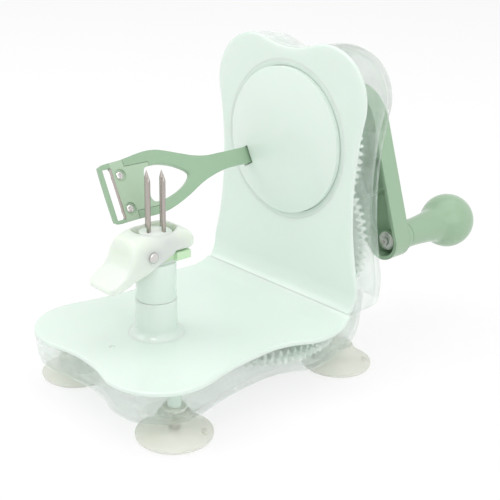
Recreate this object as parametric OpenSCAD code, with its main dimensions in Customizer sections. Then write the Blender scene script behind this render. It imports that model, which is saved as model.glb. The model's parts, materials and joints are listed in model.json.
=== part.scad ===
// Hand-cranked apple peeler on suction feet. Lengths are in millimetres.
// +Z is up and the upright panel faces -Y; the crank is at the back.
// Heights inside the modules count from the top of the tray,
// and distances along Y from the axis of the spindle.

/* [Housing] */
// Height of the tray's top above the table
tray_z = 38; // [34:0.5:46]
// Distance from the spindle's axis to the face of the upright panel
panel_y = 101.5; // [100:0.5:104]
// Height of the arm disc's axis above the tray
disc_z = 100.6; // [98:0.2:104]
// Thickness of the tray and of the panel
plate_t = 2.6; // [2:0.1:3.2]
// Radius of the inner corner between tray and panel
bend_r = 18; // [12:1:24]
// Wall of the clear shells
wall_t = 2.2; // [1.6:0.1:2.8]
// Depth of the clear shell behind the panel's face
rear_depth = 34.5; // [33.5:0.5:40]
// Depth of the clear base shell below the tray
base_depth = 24; // [23:0.5:28]

/* [Tray outline] */
// Centre of a front lobe, sideways
lobe_x = 33.7; // [31:0.1:36]
// Distance of a front lobe's centre in front of the spindle
lobe_y = 23; // [20:0.5:27]
// Radius of a front lobe
lobe_r = 34; // [32:0.5:37]
// Distance of the front notch's deepest point in front of the spindle
notch_y = 51.7; // [50:0.1:53]
// Half width at the waist of the tray
waist_x = 60; // [58:0.5:62]
// Distance of the tray's waist behind the spindle
waist_y = 36; // [33:0.5:39]
// Radius of the waist where it turns out to the hip
waist_r = 45; // [42:1:50]
// Half width at the hip
hip_x = 70; // [69:0.5:72]
// Distance of the hip behind the spindle
hip_y = 71.2; // [69:0.2:74]
// Radius of the side behind the hip
flank_r = 90; // [85:1:100]
// Radius of the base's rear corners
corner_r = 25; // [22:0.5:27]

/* [Panel outline] */
// Centre of an ear, sideways
ear_x = 31; // [29:0.5:33]
// Height of an ear's centre above the arm disc's axis
ear_up = 30.4; // [28.4:0.2:33.4]
// Radius of an ear
ear_r = 32.3; // [31:0.1:34]
// Height of the notch between the ears above the arm disc's axis
dip_up = 57.4; // [57:0.1:59]
// Half width at the panel's waist
neck_x = 57.5; // [57:0.1:59]
// Distance of the panel's waist below the arm disc's axis
neck_down = 22.6; // [18.6:0.4:26.6]
// Half width at the foot of the panel
foot_x = 65.3; // [64.5:0.1:67]
// Height of the widest place at the foot of the panel
foot_z = 14; // [10:0.5:18]

/* [Arm disc] */
// Radius of the arm disc
disc_r = 46; // [44.5:0.5:46.5]
// Height of the disc's dome over its rim
dome_h = 8; // [6:0.5:10]
// How far the disc's rim stands in front of the panel
rim_h = 2.3; // [1.5:0.1:3]
// Width of the fixed ring around the disc
ring_w = 3.5; // [3:0.1:4]

/* [Gears] */
// Module of all the gears
gear_m = 1.5; // [1.48:0.01:1.52]
// Teeth of the pinion on the crank shaft
pinion_n = 18; // [16:1:20]
// Teeth of the gear behind the arm disc
gear_n = 70; // [68:1:72]
// Teeth of the spindle pinion
spindle_n = 21; // [20:1:23]
// Backlash of the meshing teeth, measured along the pitch circle
backlash = 0.4; // [0.3:0.02:0.6]
// Width of the transfer wheel and of the crank pinion
wheel_w = 5; // [4:0.25:5.5]
// Width of the disc gear and of the feed pinion
feed_w = 5; // [4:0.25:6]
// Clearance between the disc gear and the transfer wheel, to within half a tooth
wheel_gap = 8.65; // [8:0.05:9.3]
// Depth of the crown wheel's pitch plane below the tray, to within half a tooth
crown_deep = 11.9; // [11.2:0.1:12.6]

/* [Shafts] */
// Radius of the crank shaft
shaft_r = 4; // [3.5:0.25:4.5]
// Radius of the transfer shaft
cross_r = 3; // [2.5:0.25:3.5]
// Radius of the crown wheel's post
post_r = 6; // [5:0.25:7]
// Radius of the spindle shaft
spindle_r = 5; // [4:0.25:6]
// Running clearance of shafts, on the radius
run_gap = 0.05; // [0.03:0.01:0.09]
// Clearance between faces that move past each other
face_gap = 0.4; // [0.3:0.05:0.6]

/* [Spindle] */
// Radius of the turning spindle sleeve
sleeve_r = 11.9; // [11.4:0.1:12.2]
// Radius of the fixed post below the sleeve
column_r = 12.3; // [11.8:0.1:13]
// Height of the seam between post and sleeve above the tray
seam_z = 21.9; // [18:0.1:26]
// Height of the fork's plate above the tray
fork_z = 65; // [64:0.25:66]
// Length of a tine over the plate
tine_h = 33; // [30:0.5:40]
// Radius of a tine
tine_r = 1.25; // [1:0.05:1.5]
// Distance of a tine from the spindle's axis
tine_pitch = 6; // [5:0.25:6.5]
// Turn of the tines against the lever
tine_turn = 14; // [0:1:30]

/* [Ejector lever] */
// Half width of the lever
lever_w = 12.4; // [12:0.1:12.8]
// Thickness of the lever's cheeks
cheek_t = 2.4; // [1.8:0.1:3]
// Distance of the lever's pin in front of the spindle's axis
pivot_y = 11; // [10.5:0.1:11.5]
// Height of the lever's pin above the tray
pivot_z = 53; // [52.6:0.1:53.4]
// Radius of the lever's pin
pivot_r = 2.2; // [1.8:0.1:2.6]

/* [Peeling arm] */
// Angle of the arm around the disc's axis, from +X towards +Z
arm_angle = 208.5; // [206:0.5:211]
// Distance of the arm's inner face from the disc's edge
arm_edge = 18; // [16.5:0.5:19]
// Thickness of the arm
arm_t = 3; // [2.6:0.1:3.6]
// Distance from the spindle's axis forward to the end of the arm's head
arm_reach = 18; // [17:0.5:20]
// Length of the blade
blade_l = 30; // [26:0.5:31]
// Thickness of the blade
blade_t = 0.6; // [0.4:0.1:1]

/* [Crank] */
// Distance from the crank shaft to the knob's bolt
crank_l = 80; // [74:0.5:84]
// Angle of the crank from straight down towards +X
crank_angle = 31.5; // [26:0.5:36]
// Radius of the crank's round hub
hub_r = 30; // [26:0.5:32]
// Radius of the crank's end at the knob
tip_r = 12; // [11:0.25:14]
// Depth of the hollow crank arm
crank_t = 14; // [12:0.5:16]
// Distance from the panel's face back to the crank arm
crank_gap = 52; // [50:0.5:56]
// Radius of the knob's ball
ball_r = 18.5; // [17:0.25:20]
// Distance from the crank arm to the centre of the knob's ball
ball_y = 56; // [52:0.5:60]
// Radius of the knob's bolt
bolt_r = 3; // [2.5:0.25:3.5]

/* [Feet] */
// Distance of a suction foot from the middle plane
cup_x = 48; // [45:0.5:50]
// Distance of the front feet in front of the spindle
cup_front = 25; // [22:0.5:28]
// Distance of the rear feet behind the spindle
cup_rear = 108; // [104:0.5:111]
// Radius of a suction foot
cup_r = 22; // [20:0.25:24]
// Radius of the screws
screw_r = 1.5; // [1.2:0.1:2]

/* [Hidden] */
$fn = 96;

// Lengths along Y, counted from the spindle's axis
front_y = -lobe_y - lobe_r;
rear_y = panel_y + rear_depth;
base_rear_y = rear_y + 1.5;
bush_l = 4.6;
ring_back = panel_y + plate_t + bush_l;
gear_front = ring_back + face_gap;
crank_y = panel_y + crank_gap;
crank_back = crank_y + crank_t;
knob_front = crank_back + face_gap;
knob_y = crank_back + ball_y;
bush_t = 4;
spindle_y = -(front_y + knob_y + ball_r) / 2;
crank_axis = [crank_l * sin(crank_angle), -crank_l * cos(crank_angle)];

// Teeth that follow from the distances: the transfer wheel reaches from the crank's pinion down
// to the crown wheel, and the crown wheel from the spindle's pinion back to the transfer wheel
rim_more = 6;
wheel_n = round((disc_z + crown_deep) / gear_m - pinion_n / 2);
feed_n = wheel_n + pinion_n - gear_n;
crown_n = round((gear_front + feed_w + wheel_gap + wheel_w / 2) / gear_m - (spindle_n + rim_more) / 2);
rim_n = crown_n + rim_more;

// Pitch radii and the places of the axes that follow from the gears
pinion_pr = gear_m * pinion_n / 2;
wheel_pr = gear_m * wheel_n / 2;
feed_pr = gear_m * feed_n / 2;
gear_pr = gear_m * gear_n / 2;
crown_pr = gear_m * crown_n / 2;
rim_pr = gear_m * rim_n / 2;
spindle_pr = gear_m * spindle_n / 2;
add_h = 0.9 * gear_m;
ded_h = 1.25 * gear_m;
cross_z = disc_z - wheel_pr - pinion_pr;
crown_y = rim_pr + spindle_pr;
wheel_y = crown_y + crown_pr;
mesh_z = cross_z - wheel_pr;
crown_top = mesh_z - ded_h;
crown_t = 4;

// The seam between the base and the upright runs through the middle of the bend
bend_y = panel_y - bend_r;
mitre_y = bend_y + (bend_r + plate_t) * cos(45);
mitre_z = bend_r - (bend_r + plate_t) * sin(45);
seam_gap = 0.2;
floor_z = -base_depth + wall_t;

// Heights of the panel's places above the tray
ear_z = disc_z + ear_up;
dip_z = disc_z + dip_up;
neck_z = disc_z - neck_down;

// Radii of the arcs that join the outlines' named places
notch_r = (pow(lobe_x, 2) + pow(notch_y - lobe_y, 2) - pow(lobe_r, 2))
    / (2 * (lobe_r - notch_y + lobe_y));
notch_c = -notch_y - notch_r;
side_r = (pow(waist_x - lobe_x, 2) + pow(waist_y + lobe_y, 2) - pow(lobe_r, 2))
    / (2 * (lobe_r - waist_x + lobe_x));
hip_b = waist_x + waist_r - hip_x;
hip_r = (pow(hip_b, 2) + pow(hip_y - waist_y, 2) - pow(waist_r, 2)) / (2 * (waist_r - hip_b));
corner_y = base_rear_y - corner_r;
corner_x = hip_x - flank_r + sqrt(pow(flank_r - corner_r, 2) - pow(corner_y - hip_y, 2));
dip_r = (pow(ear_x, 2) + pow(dip_z - ear_z, 2) - pow(ear_r, 2)) / (2 * (ear_r - dip_z + ear_z));
dip_c = dip_z + dip_r;
neck_r = (pow(neck_x - ear_x, 2) + pow(ear_z - neck_z, 2) - pow(ear_r, 2))
    / (2 * (ear_r - neck_x + ear_x));
foot_b = neck_x + neck_r - foot_x;
foot_r = (pow(foot_b, 2) + pow(neck_z - foot_z, 2) - pow(neck_r, 2)) / (2 * (neck_r - foot_b));

function arc(x, y, r, a, b, n) = [for (i = [0:n - 1]) let (t = a + (b - a) * i / n)
    [x + r * cos(t), y + r * sin(t)]];
function mirrored(p) = [for (i = [len(p) - 1:-1:0]) [-p[i][0], p[i][1]]];

// Outline of the base seen from above, set in by e
function base_half(e) = let (
    n = atan2(-lobe_y - notch_c, lobe_x),
    s = atan2(waist_y + lobe_y, waist_x + side_r - lobe_x),
    h = atan2(hip_y - waist_y, hip_x - hip_r - waist_x - waist_r),
    c = atan2(corner_y - hip_y, corner_x - hip_x + flank_r))
    concat(
        arc(0, notch_c, notch_r + e, 90, n, 5),
        arc(lobe_x, -lobe_y, lobe_r - e, n + 180, s + 360, 16),
        arc(waist_x + side_r, waist_y, side_r + e, s + 180, 180, 5),
        arc(waist_x + waist_r, waist_y, waist_r + e, 180, h, 6),
        arc(hip_x - hip_r, hip_y, hip_r - e, h - 180, 0, 5),
        arc(hip_x - flank_r, hip_y, flank_r - e, 0, c, 6),
        arc(corner_x, corner_y, corner_r - e, c, 90, 7),
        [[corner_x, base_rear_y - e]]);
function base_pts(e) = let (h = base_half(e)) concat(h, [for (p = mirrored(h)) if (p[0] < 0) p]);

// Outline of the upright seen from the front, set in by e
function panel_half(e, z) = let (
    d = atan2(ear_z - dip_c, ear_x),
    n = atan2(neck_z - ear_z, neck_x + neck_r - ear_x),
    f = atan2(foot_z - neck_z, foot_x - foot_r - neck_x - neck_r),
    b = asin((z - foot_z) / (foot_r - e)))
    concat(
        arc(0, dip_c, dip_r + e, -90, d, 5),
        arc(ear_x, ear_z, ear_r - e, d + 180, n, 18),
        arc(neck_x + neck_r, neck_z, neck_r + e, n + 180, f + 360, 10),
        arc(foot_x - foot_r, foot_z, foot_r - e, f + 180, b, 6),
        [[foot_x - foot_r + (foot_r - e) * cos(b), z]]);
function panel_pts(e, z) = let (h = panel_half(e, z)) concat([for (p = mirrored(h)) if (p[0] < 0) p], h);

// Walls between outer and inner rings of points, closed at the last ring by a floor
// and all round its first ring by a rim; an open outline leaves the side of its ends free
module pan(outer, inner, closed) {
    n = len(outer[0]);
    m = len(outer);
    w = closed ? n - 1 : n - 2;
    d = n * m;
    sides = [for (k = [0:m - 2]) for (i = [0:w]) let (a = k * n + i, b = k * n + (i + 1) % n)
        each [[a, b, a + n], [b, b + n, a + n], [d + b, d + a, d + a + n], [d + b, d + a + n, d + b + n]]];
    rim = [for (i = [0:w]) let (a = i, b = (i + 1) % n) each [[b, a, d + b], [a, d + a, d + b]]];
    ends = closed ? [] : concat(
        [for (k = [0:m - 2]) let (a = k * n) each [[a, a + n, d + a], [a + n, d + a + n, d + a]]],
        [for (k = [0:m - 2]) let (a = k * n + n - 1) each [[a + n, a, d + a], [a + n, d + a, d + a + n]]],
        [[d - n, d - 1, 2 * d - 1], [d - n, 2 * d - 1, 2 * d - n]]);
    floors = [[for (i = [0:n - 1]) d - n + i], [for (i = [n - 1:-1:0]) 2 * d - n + i]];
    polyhedron(concat([for (r = outer) each r], [for (r = inner) each r]),
        concat(sides, rim, ends, floors), convexity = 8);
}

module placed() {
    translate([0, spindle_y, tray_z]) children();
}

// A profile in Y and Z, drawn out along X
module across(w) {
    rotate([90, 0, 90]) translate([0, 0, -w / 2]) linear_extrude(w, convexity = 6) children();
}

// A profile in X and Z at the disc's axis, drawn out along +Y from y
module behind(y, l) {
    translate([0, y + l, disc_z]) rotate([90, 0, 0]) linear_extrude(l, convexity = 8) children();
}

module rod(y, l, r) {
    behind(y, l) circle(r);
}

// Side view of the bend's lower face from the tray up to angle a, as points
function bend(r, a, b) = [for (i = [0:10]) let (t = a + (b - a) * i / 10)
    [bend_y + r * cos(t), bend_r + r * sin(t)]];

// Tooth half angles of a gear at radius r, from its involute
function inv(a) = tan(a) * 180 / PI - a;
function tooth_half(n, r) = let (p = gear_m * n / 2, b = p * cos(20))
    90 / n - backlash / 2 / p * 180 / PI / 2 + inv(20) - inv(acos(min(1, b / r)));
function gear_pts(n, phase) = let (p = gear_m * n / 2, rs = [p - ded_h, p, p + add_h])
    [for (i = [0:n - 1]) let (c = phase + 360 * i / n) each concat(
        [for (k = [0:2]) let (h = tooth_half(n, rs[k])) rs[k] * [cos(c - h), sin(c - h)]],
        [for (k = [2:-1:0]) let (h = tooth_half(n, rs[k])) rs[k] * [cos(c + h), sin(c + h)]])];

module gear(n, phase) {
    polygon(gear_pts(n, phase));
}

module cup_places() {
    for (s = [-1, 1]) {
        translate([s * cup_x, -cup_front, 0]) children();
        translate([s * cup_x, cup_rear, 0]) children();
    }
}

// Clear shells

// Depth below the tray and inset of each ring of the base, and distance behind the panel's face
// and inset of each ring of the rear shell
base_rings = [[0, 0], [12, 1], [17, 1.8], [20, 2.9], [22.2, 4.8], [23.5, 7.2], [24, 9.8]];
rear_rings = [[0, 0], [12, 0.5], [20, 1.2], [25, 2.1], [29, 3.7], [31.8, 6], [33.6, 9], [34.5, 12.5]];
base_low = base_depth - base_rings[len(base_rings) - 1][0];
rear_low = rear_depth - rear_rings[len(rear_rings) - 1][0];

// Height of the tray's lower face over y, and place of the panel's back over z
function under(y) = y < bend_y ? -plate_t : y > mitre_y ? mitre_z
    : bend_r - sqrt(pow(bend_r + plate_t, 2) - pow(y - bend_y, 2));
function back(z) = z > bend_r ? panel_y + plate_t
    : bend_y + sqrt(pow(bend_r + plate_t, 2) - pow(bend_r - z, 2));
function base_ring(k, wall) = [for (p = base_pts(base_rings[k][1] + wall)) [p[0], p[1],
    k == 0 ? under(p[1]) : wall - base_rings[k][0] - base_low * (k > 1 ? 1 : 0.5)]];
function rear_ring(k, wall) = [for (p = panel_pts(rear_rings[k][1] + wall, mitre_z)) [-p[0],
    k == 0 ? back(p[1]) : panel_y + rear_rings[k][0] - wall + rear_low * (k > 1 ? 1 : 0.5), p[1]]];

module base_shell() {
    color("gainsboro", 0.5) placed() difference() {
        pan([for (k = [0:len(base_rings) - 1]) base_ring(k, 0)],
            [for (k = [0:len(base_rings) - 1]) base_ring(k, wall_t)], true);
        cup_places() translate([0, 0, -base_depth - 1]) cylinder(h = wall_t + 4, r = cup_neck_r);
    }
}

module rear_shell() {
    color("gainsboro", 0.5) placed() difference() {
        pan([for (k = [0:len(rear_rings) - 1]) rear_ring(k, 0)],
            [for (k = [0:len(rear_rings) - 1]) rear_ring(k, wall_t)], false);
        rod(rear_y - wall_t * 3, wall_t * 4, shaft_r + bush_t);
        translate([0, 0, cross_z - disc_z]) rod(rear_y - wall_t * 3, wall_t * 4, cross_r + bush_t - 1);
    }
}

// Tray and panel

module bent_plate() {
    across(200) polygon(concat(
        [[front_y - 20, 0]], bend(bend_r, -90, 0), [[panel_y, 200], [panel_y + plate_t, 200]],
        bend(bend_r + plate_t, 0, -90), [[front_y - 20, -plate_t]]));
}

module tray() {
    color("honeydew") placed() difference() {
        union() {
            intersection() {
                bent_plate();
                translate([0, 0, -20]) linear_extrude(60, convexity = 6) polygon(base_pts(0));
                across(200) polygon([[front_y - 20, -20], [panel_y + 20 - seam_gap, -20],
                    [bend_y - 20 - seam_gap, bend_r + 20], [front_y - 20, bend_r + 20]]);
            }
            for (s = [-1, 1]) translate([s * cup_x, -cup_front, 0]) {
                translate([0, 0, pillar_z]) cylinder(h = -plate_t - pillar_z, r = pillar_r);
                translate([0, 0, -plate_t - 4]) cylinder(h = 4, r1 = pillar_r, r2 = pillar_r + 2);
            }
        }
        translate([0, 0, -10]) cylinder(h = 20, r = flare_r - 1);
        translate([0, -hole_y, -0.8]) cylinder(h = 10, r = 1.5);
        for (s = [-1, 1]) translate([s * cup_x, -cup_front, pillar_z - 1]) cylinder(h = screw_in + 1, r = screw_r);
    }
}

module front_panel() {
    color("honeydew") placed() difference() {
        intersection() {
            bent_plate();
            translate([0, panel_y + 40, 0]) rotate([90, 0, 0])
                linear_extrude(100, convexity = 6) polygon(panel_pts(0, -8));
            across(200) polygon([[panel_y + 20 + seam_gap, -20], [panel_y + 40, -20],
                [panel_y + 40, 220], [bend_y - 20, 220], [bend_y - 20 + seam_gap, bend_r + 20]]);
        }
        rod(panel_y - 5, 20, disc_r + face_gap + ring_w);
    }
}

module disc_ring() {
    color("honeydew") placed() difference() {
        rod(panel_y + 0.6, ring_back - panel_y - 0.6, disc_r + face_gap + ring_w);
        rod(panel_y - 1, 20, disc_r + face_gap);
    }
}

// Bearings

hole_y = 32;
flare_r = column_r + 4;
bush_r = spindle_r + 2.5;

module spindle_post() {
    color("honeydew") placed()
        rotate_extrude() polygon(concat([[bush_r, -plate_t], [flare_r - 1, -plate_t], [flare_r - 1, 0]],
            [for (i = [0:8]) let (t = -90 - 90 * i / 8) [column_r + 5 + 5 * cos(t), 5 + 5 * sin(t)]],
            [[column_r, seam_z], [bush_r, seam_z]]));
}

module spindle_bush() {
    color("ivory") placed() difference() {
        union() {
            translate([0, 0, -plate_t]) cylinder(h = seam_z + plate_t, r = bush_r);
            translate([0, 0, -plate_t - 2]) cylinder(h = 2, r = bush_r + 2);
        }
        translate([0, 0, -20]) cylinder(h = 80, r = spindle_r + run_gap);
    }
}

step_top = crown_top - crown_t - face_gap;
module step_bush() {
    color("ivory") placed() translate([0, 0, floor_z]) difference() {
        cylinder(h = step_top - floor_z, r = spindle_r + 4);
        translate([0, 0, 1]) cylinder(h = 40, r = spindle_r + run_gap);
    }
}

module crown_post() {
    color("ivory") placed() translate([0, crown_y, floor_z]) {
        cylinder(h = step_top - floor_z, r = post_r + 4);
        cylinder(h = crown_top + 3 - floor_z, r = post_r);
    }
}

module crank_bush() {
    color("ivory") placed() difference() {
        union() {
            rod(rear_y - wall_t - 2, crank_y - face_gap - rear_y + wall_t + 2, shaft_r + bush_t);
            rod(rear_y - wall_t - 2, 2, shaft_r + bush_t + 3);
            rod(rear_y, 3, shaft_r + bush_t + 5);
        }
        rod(rear_y - 20, 80, shaft_r + run_gap);
    }
}

shaft_front = panel_y + plate_t + 0.8;
shaft_back = rear_y - 0.3;
module shaft_bush_front() {
    color("ivory") placed() translate([0, 0, cross_z - disc_z]) difference() {
        rod(panel_y + plate_t, bush_l, cross_r + bush_t);
        rod(shaft_front, 30, cross_r + run_gap);
    }
}

module shaft_bush_rear() {
    color("ivory") placed() translate([0, 0, cross_z - disc_z]) difference() {
        union() {
            rod(rear_y - wall_t, wall_t, cross_r + bush_t - 1);
            rod(wheel_y + wheel_w / 2 + face_gap, rear_y - wall_t - wheel_y - wheel_w / 2 - face_gap,
                cross_r + bush_t);
        }
        rod(shaft_back - 40, 40, cross_r + run_gap);
    }
}

// Feet

cup_neck_r = 5;
cup_head_r = cup_neck_r + 1.6;
cup_head = 2.2;
cup_h = tray_z - base_depth;
cup_roof = 4.5;
pillar_r = 4;
pillar_z = floor_z + cup_head;
screw_in = 12;
module cup() {
    translate([0, 0, -tray_z]) rotate_extrude() polygon(concat(
        [[0, cup_roof], [cup_neck_r, cup_roof], [cup_r - 9, 3], [cup_r - 3.5, 0], [cup_r - 0.8, 0]],
        [for (i = [0:6]) let (t = -60 + 120 * i / 6) [cup_r - 1.2 + 1.2 * cos(t), 1.6 + 1.2 * sin(t)]],
        [[cup_r - 4, 4.6], [cup_r - 9, 8], [cup_neck_r + 6, cup_h - 2.6], [cup_neck_r + 4.6, cup_h],
            [cup_neck_r, cup_h], [cup_neck_r, cup_h + wall_t], [0, cup_h + wall_t]]));
    rotate(30) translate([cup_r - 4.4, 0, 3 - tray_z]) cylinder(h = 3.2, r = 2.2);
}

module front_cup() {
    difference() {
        union() {
            cup();
            translate([0, 0, floor_z]) cylinder(h = cup_head, r = cup_head_r);
        }
        translate([0, 0, -tray_z]) cylinder(h = tray_z, r = screw_r);
    }
}

module cup_front_left() {
    color("ivory", 0.7) placed() translate([-cup_x, -cup_front, 0]) mirror([1, 0, 0]) front_cup();
}

module cup_front_right() {
    color("ivory", 0.7) placed() translate([cup_x, -cup_front, 0]) front_cup();
}

module cup_rear_left() {
    color("ivory", 0.7) placed() translate([-cup_x, cup_rear, 0]) mirror([1, 0, 0]) cup();
}

module cup_rear_right() {
    color("ivory", 0.7) placed() translate([cup_x, cup_rear, 0]) cup();
}

module foot_screw(s) {
    color("silver") placed() translate([s * cup_x, -cup_front, cup_roof - tray_z]) {
        cylinder(h = pillar_z + screw_in + tray_z - cup_roof, r = screw_r);
        translate([0, 0, -1.4]) cylinder(h = 1.4, r = screw_r * 2);
    }
}

module foot_screw_left() {
    foot_screw(-1);
}

module foot_screw_right() {
    foot_screw(1);
}

// Crank

hub_boss = shaft_r + 5;
wall_c = 2.4;
module crank_outline(e) {
    u = [sin(crank_angle), -cos(crank_angle)];
    v = [cos(crank_angle), sin(crank_angle)];
    s = (hub_r - tip_r) / crank_l;
    c = sqrt(1 - s * s);
    circle(hub_r - e);
    translate(crank_axis) circle(tip_r - e);
    polygon([(hub_r - e) * (s * u + c * v), crank_axis + (tip_r - e) * (s * u + c * v),
        crank_axis + (tip_r - e) * (s * u - c * v), (hub_r - e) * (s * u - c * v)]);
}

module crank_rib(d, w) {
    rotate(crank_angle) translate([-w / 2, -d - 0.8]) square([w, 1.6]);
}

module crank_arm() {
    color("darkseagreen") placed() difference() {
        union() {
            difference() {
                behind(crank_y, crank_t) crank_outline(0);
                behind(crank_y - 1, crank_t + 1 - wall_c) crank_outline(wall_c);
            }
            rod(crank_y, crank_t - 1, hub_boss);
            behind(crank_y + 5, crank_t - 6) intersection() {
                crank_outline(wall_c / 2);
                union() {
                    crank_rib(crank_l * 0.34, 80);
                    crank_rib(crank_l * 0.6, 80);
                }
            }
            translate([crank_axis[0], 0, crank_axis[1]]) rod(crank_y + 5, crank_t - 6, bolt_r + 3.5);
        }
        rod(crank_y - 1, crank_t - 3, shaft_r);
        rod(crank_y, crank_t + 1, screw_r);
        translate([crank_axis[0], 0, crank_axis[1]]) rod(crank_y - 1, crank_t + 2, bolt_r);
    }
}

module crank_shaft() {
    color("silver") placed() difference() {
        rod(disc_hub_y, crank_back - 4 - disc_hub_y, shaft_r);
        rod(crank_y, 40, screw_r);
    }
}

module crank_screw() {
    color("silver") placed() {
        rod(crank_y + 0.5, crank_t - 0.5, screw_r);
        rod(crank_back, 2, screw_r * 2.2);
    }
}

module crank_pinion() {
    color("palegreen") placed() difference() {
        behind(wheel_y - wheel_w / 2, wheel_w) gear(pinion_n, -90 + 180 / pinion_n);
        rod(wheel_y - 20, 40, shaft_r);
    }
}

knob_end = knob_y + 2;
module knob_bolt() {
    color("silver") placed() translate([crank_axis[0], 0, crank_axis[1]]) {
        rod(crank_y + 4, knob_end - crank_y - 4, bolt_r);
        rod(crank_y + 2, 2, bolt_r * 1.7);
        rod(knob_end, 2, bolt_r * 1.7);
    }
}

module knob_washer() {
    color("silver") placed() translate([crank_axis[0], 0, crank_axis[1]]) difference() {
        rod(crank_y + 4, 1, bolt_r + 3);
        rod(crank_y, 20, bolt_r);
    }
}

neck_len = ball_y - face_gap;
module knob() {
    r = ball_r;
    a = asin(8.5 / r) + 12;
    color("darkseagreen") placed() translate([crank_axis[0], knob_front, disc_z + crank_axis[1]])
        rotate([-90, 0, 0]) rotate_extrude() polygon(concat(
            [[bolt_r + run_gap, 0], [9, 0], [9.6, 0.8], [9.6, 6.2], [9, 7], [8.6, 7], [8.6, 7.8], [9, 7.8]],
            [for (i = [0:6]) let (t = i / 6) [9 + (r * sin(a) - 9) * t * t, 7.8 + (neck_len - r * cos(a) - 7.8) * t]],
            [for (i = [1:24]) let (t = a + (180 - a) * i / 24) [max(0, r * sin(t)), neck_len - r * cos(t)]],
            [[0, neck_len + 2 + 2 + face_gap + 2], [bolt_r * 1.7 + face_gap, neck_len + 4.4 + face_gap],
                [bolt_r * 1.7 + face_gap, neck_len + 2 - face_gap], [bolt_r + run_gap, neck_len + 2 - face_gap]]));
}

// Transfer wheel

module transfer_shaft() {
    color("silver") placed() translate([0, 0, cross_z - disc_z])
        rod(shaft_front + 0.3, shaft_back - shaft_front - 0.6, cross_r);
}

module transfer_wheel() {
    color("palegreen") placed() translate([0, 0, cross_z - disc_z]) difference() {
        union() {
            behind(wheel_y - wheel_w / 2, wheel_w) gear(wheel_n, 90);
            rod(feed_back, wheel_y - feed_back, cross_r + bush_t);
        }
        rod(panel_y, 60, cross_r);
        for (i = [0:5]) translate([0, 0, disc_z]) rotate([0, 60 * i, 0])
            translate([wheel_pr * 0.58, 0, -disc_z]) rod(panel_y, 60, wheel_pr * 0.2);
    }
}

feed_front = gear_front;
feed_back = feed_front + feed_w;
module feed_pinion() {
    color("palegreen") placed() translate([0, 0, cross_z - disc_z]) difference() {
        behind(feed_front, feed_w) gear(feed_n, 90);
        rod(panel_y, 60, cross_r);
    }
}

// Crown wheel in the base

module face_tooth(a) {
    w = PI * gear_m / 2 - backlash - 0.3;
    l = 5;
    rotate(a) translate([crown_pr - l / 2, 0, mesh_z]) rotate([90, 0, 90]) linear_extrude(l)
        polygon([[-w / 2 - ded_h * 0.3, -ded_h - 0.5], [w / 2 + ded_h * 0.3, -ded_h - 0.5],
            [w / 2 - add_h * 0.36, add_h], [-w / 2 + add_h * 0.36, add_h]]);
}

module crown_wheel() {
    color("palegreen") placed() translate([0, crown_y, 0]) {
        difference() {
            union() {
                translate([0, 0, crown_top - crown_t]) linear_extrude(crown_t, convexity = 8) gear(rim_n, -90);
                translate([0, 0, crown_top - crown_t]) cylinder(h = crown_t + 2, r = post_r + 4);
            }
            translate([0, 0, crown_top - crown_t - 1]) cylinder(h = 30, r = post_r + run_gap);
            for (i = [0:5]) rotate(60 * i + 30) translate([crown_pr * 0.57, 0, crown_top - crown_t - 1])
                cylinder(h = 20, r = crown_pr * 0.2);
        }
        for (i = [0:crown_n - 1]) face_tooth(90 + (i + 0.5 - wheel_n % 2 / 2) * 360 / crown_n);
    }
}

// Spindle and fork

sleeve_top = 45.5;
head_r = sleeve_r - 0.5;
lug_r = pivot_r + 2;
head_top = pivot_z + lug_r;
plate_r = tine_pitch + tine_r + 2.3;
plate_drop = 2;
tine_in = 4.5;
cheek_in = lever_w - cheek_t;
head_half = cheek_in - face_gap;
tab_z = 51.8;
tab_t = 4.8;
tab_in = 6;
tab_out = 16;
flat_top = tab_z - tab_t;

// Between the lever's cheeks the sleeve goes on with two flats, up to the tab
module spindle_sleeve() {
    color("honeydew") placed() {
        translate([0, 0, seam_z + face_gap]) cylinder(h = sleeve_top - seam_z - face_gap, r = sleeve_r);
        intersection() {
            translate([0, 0, seam_z + face_gap]) cylinder(h = flat_top - seam_z - face_gap, r = sleeve_r);
            translate([-head_half, -sleeve_r, 0]) cube([2 * head_half, 2 * sleeve_r, flat_top]);
        }
        translate([0, 0, floor_z + 1.4]) cylinder(h = seam_z + 2 - floor_z, r = spindle_r);
    }
}

module spindle_pinion() {
    color("palegreen") placed() difference() {
        translate([0, 0, crown_top - crown_t]) linear_extrude(crown_t, convexity = 8)
            gear(spindle_n, 90 + 180 / spindle_n);
        translate([0, 0, crown_top - crown_t - 1]) cylinder(h = 20, r = spindle_r);
    }
}

module fork_head() {
    color("palegreen") placed() difference() {
        union() {
            intersection() {
                translate([0, 0, flat_top]) cylinder(h = head_top - flat_top, r = head_r);
                translate([-head_half, -head_r, flat_top]) cube([2 * head_half, 2 * head_r, 20]);
            }
            translate([-head_half, -pivot_y, pivot_z - lug_r]) cube([2 * head_half, pivot_y, 2 * lug_r]);
            translate([-head_half, -pivot_y, pivot_z]) rotate([0, 90, 0]) cylinder(h = 2 * head_half, r = lug_r);
            translate([-head_half, 0, flat_top]) cube([2 * head_half, tab_out, tab_t]);
            translate([-lever_w, tab_in, flat_top]) cube([2 * lever_w, tab_out - tab_in, tab_t]);
        }
        translate([-40, -pivot_y, pivot_z]) rotate([0, 90, 0]) cylinder(h = 80, r = pivot_r);
    }
}

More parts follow.
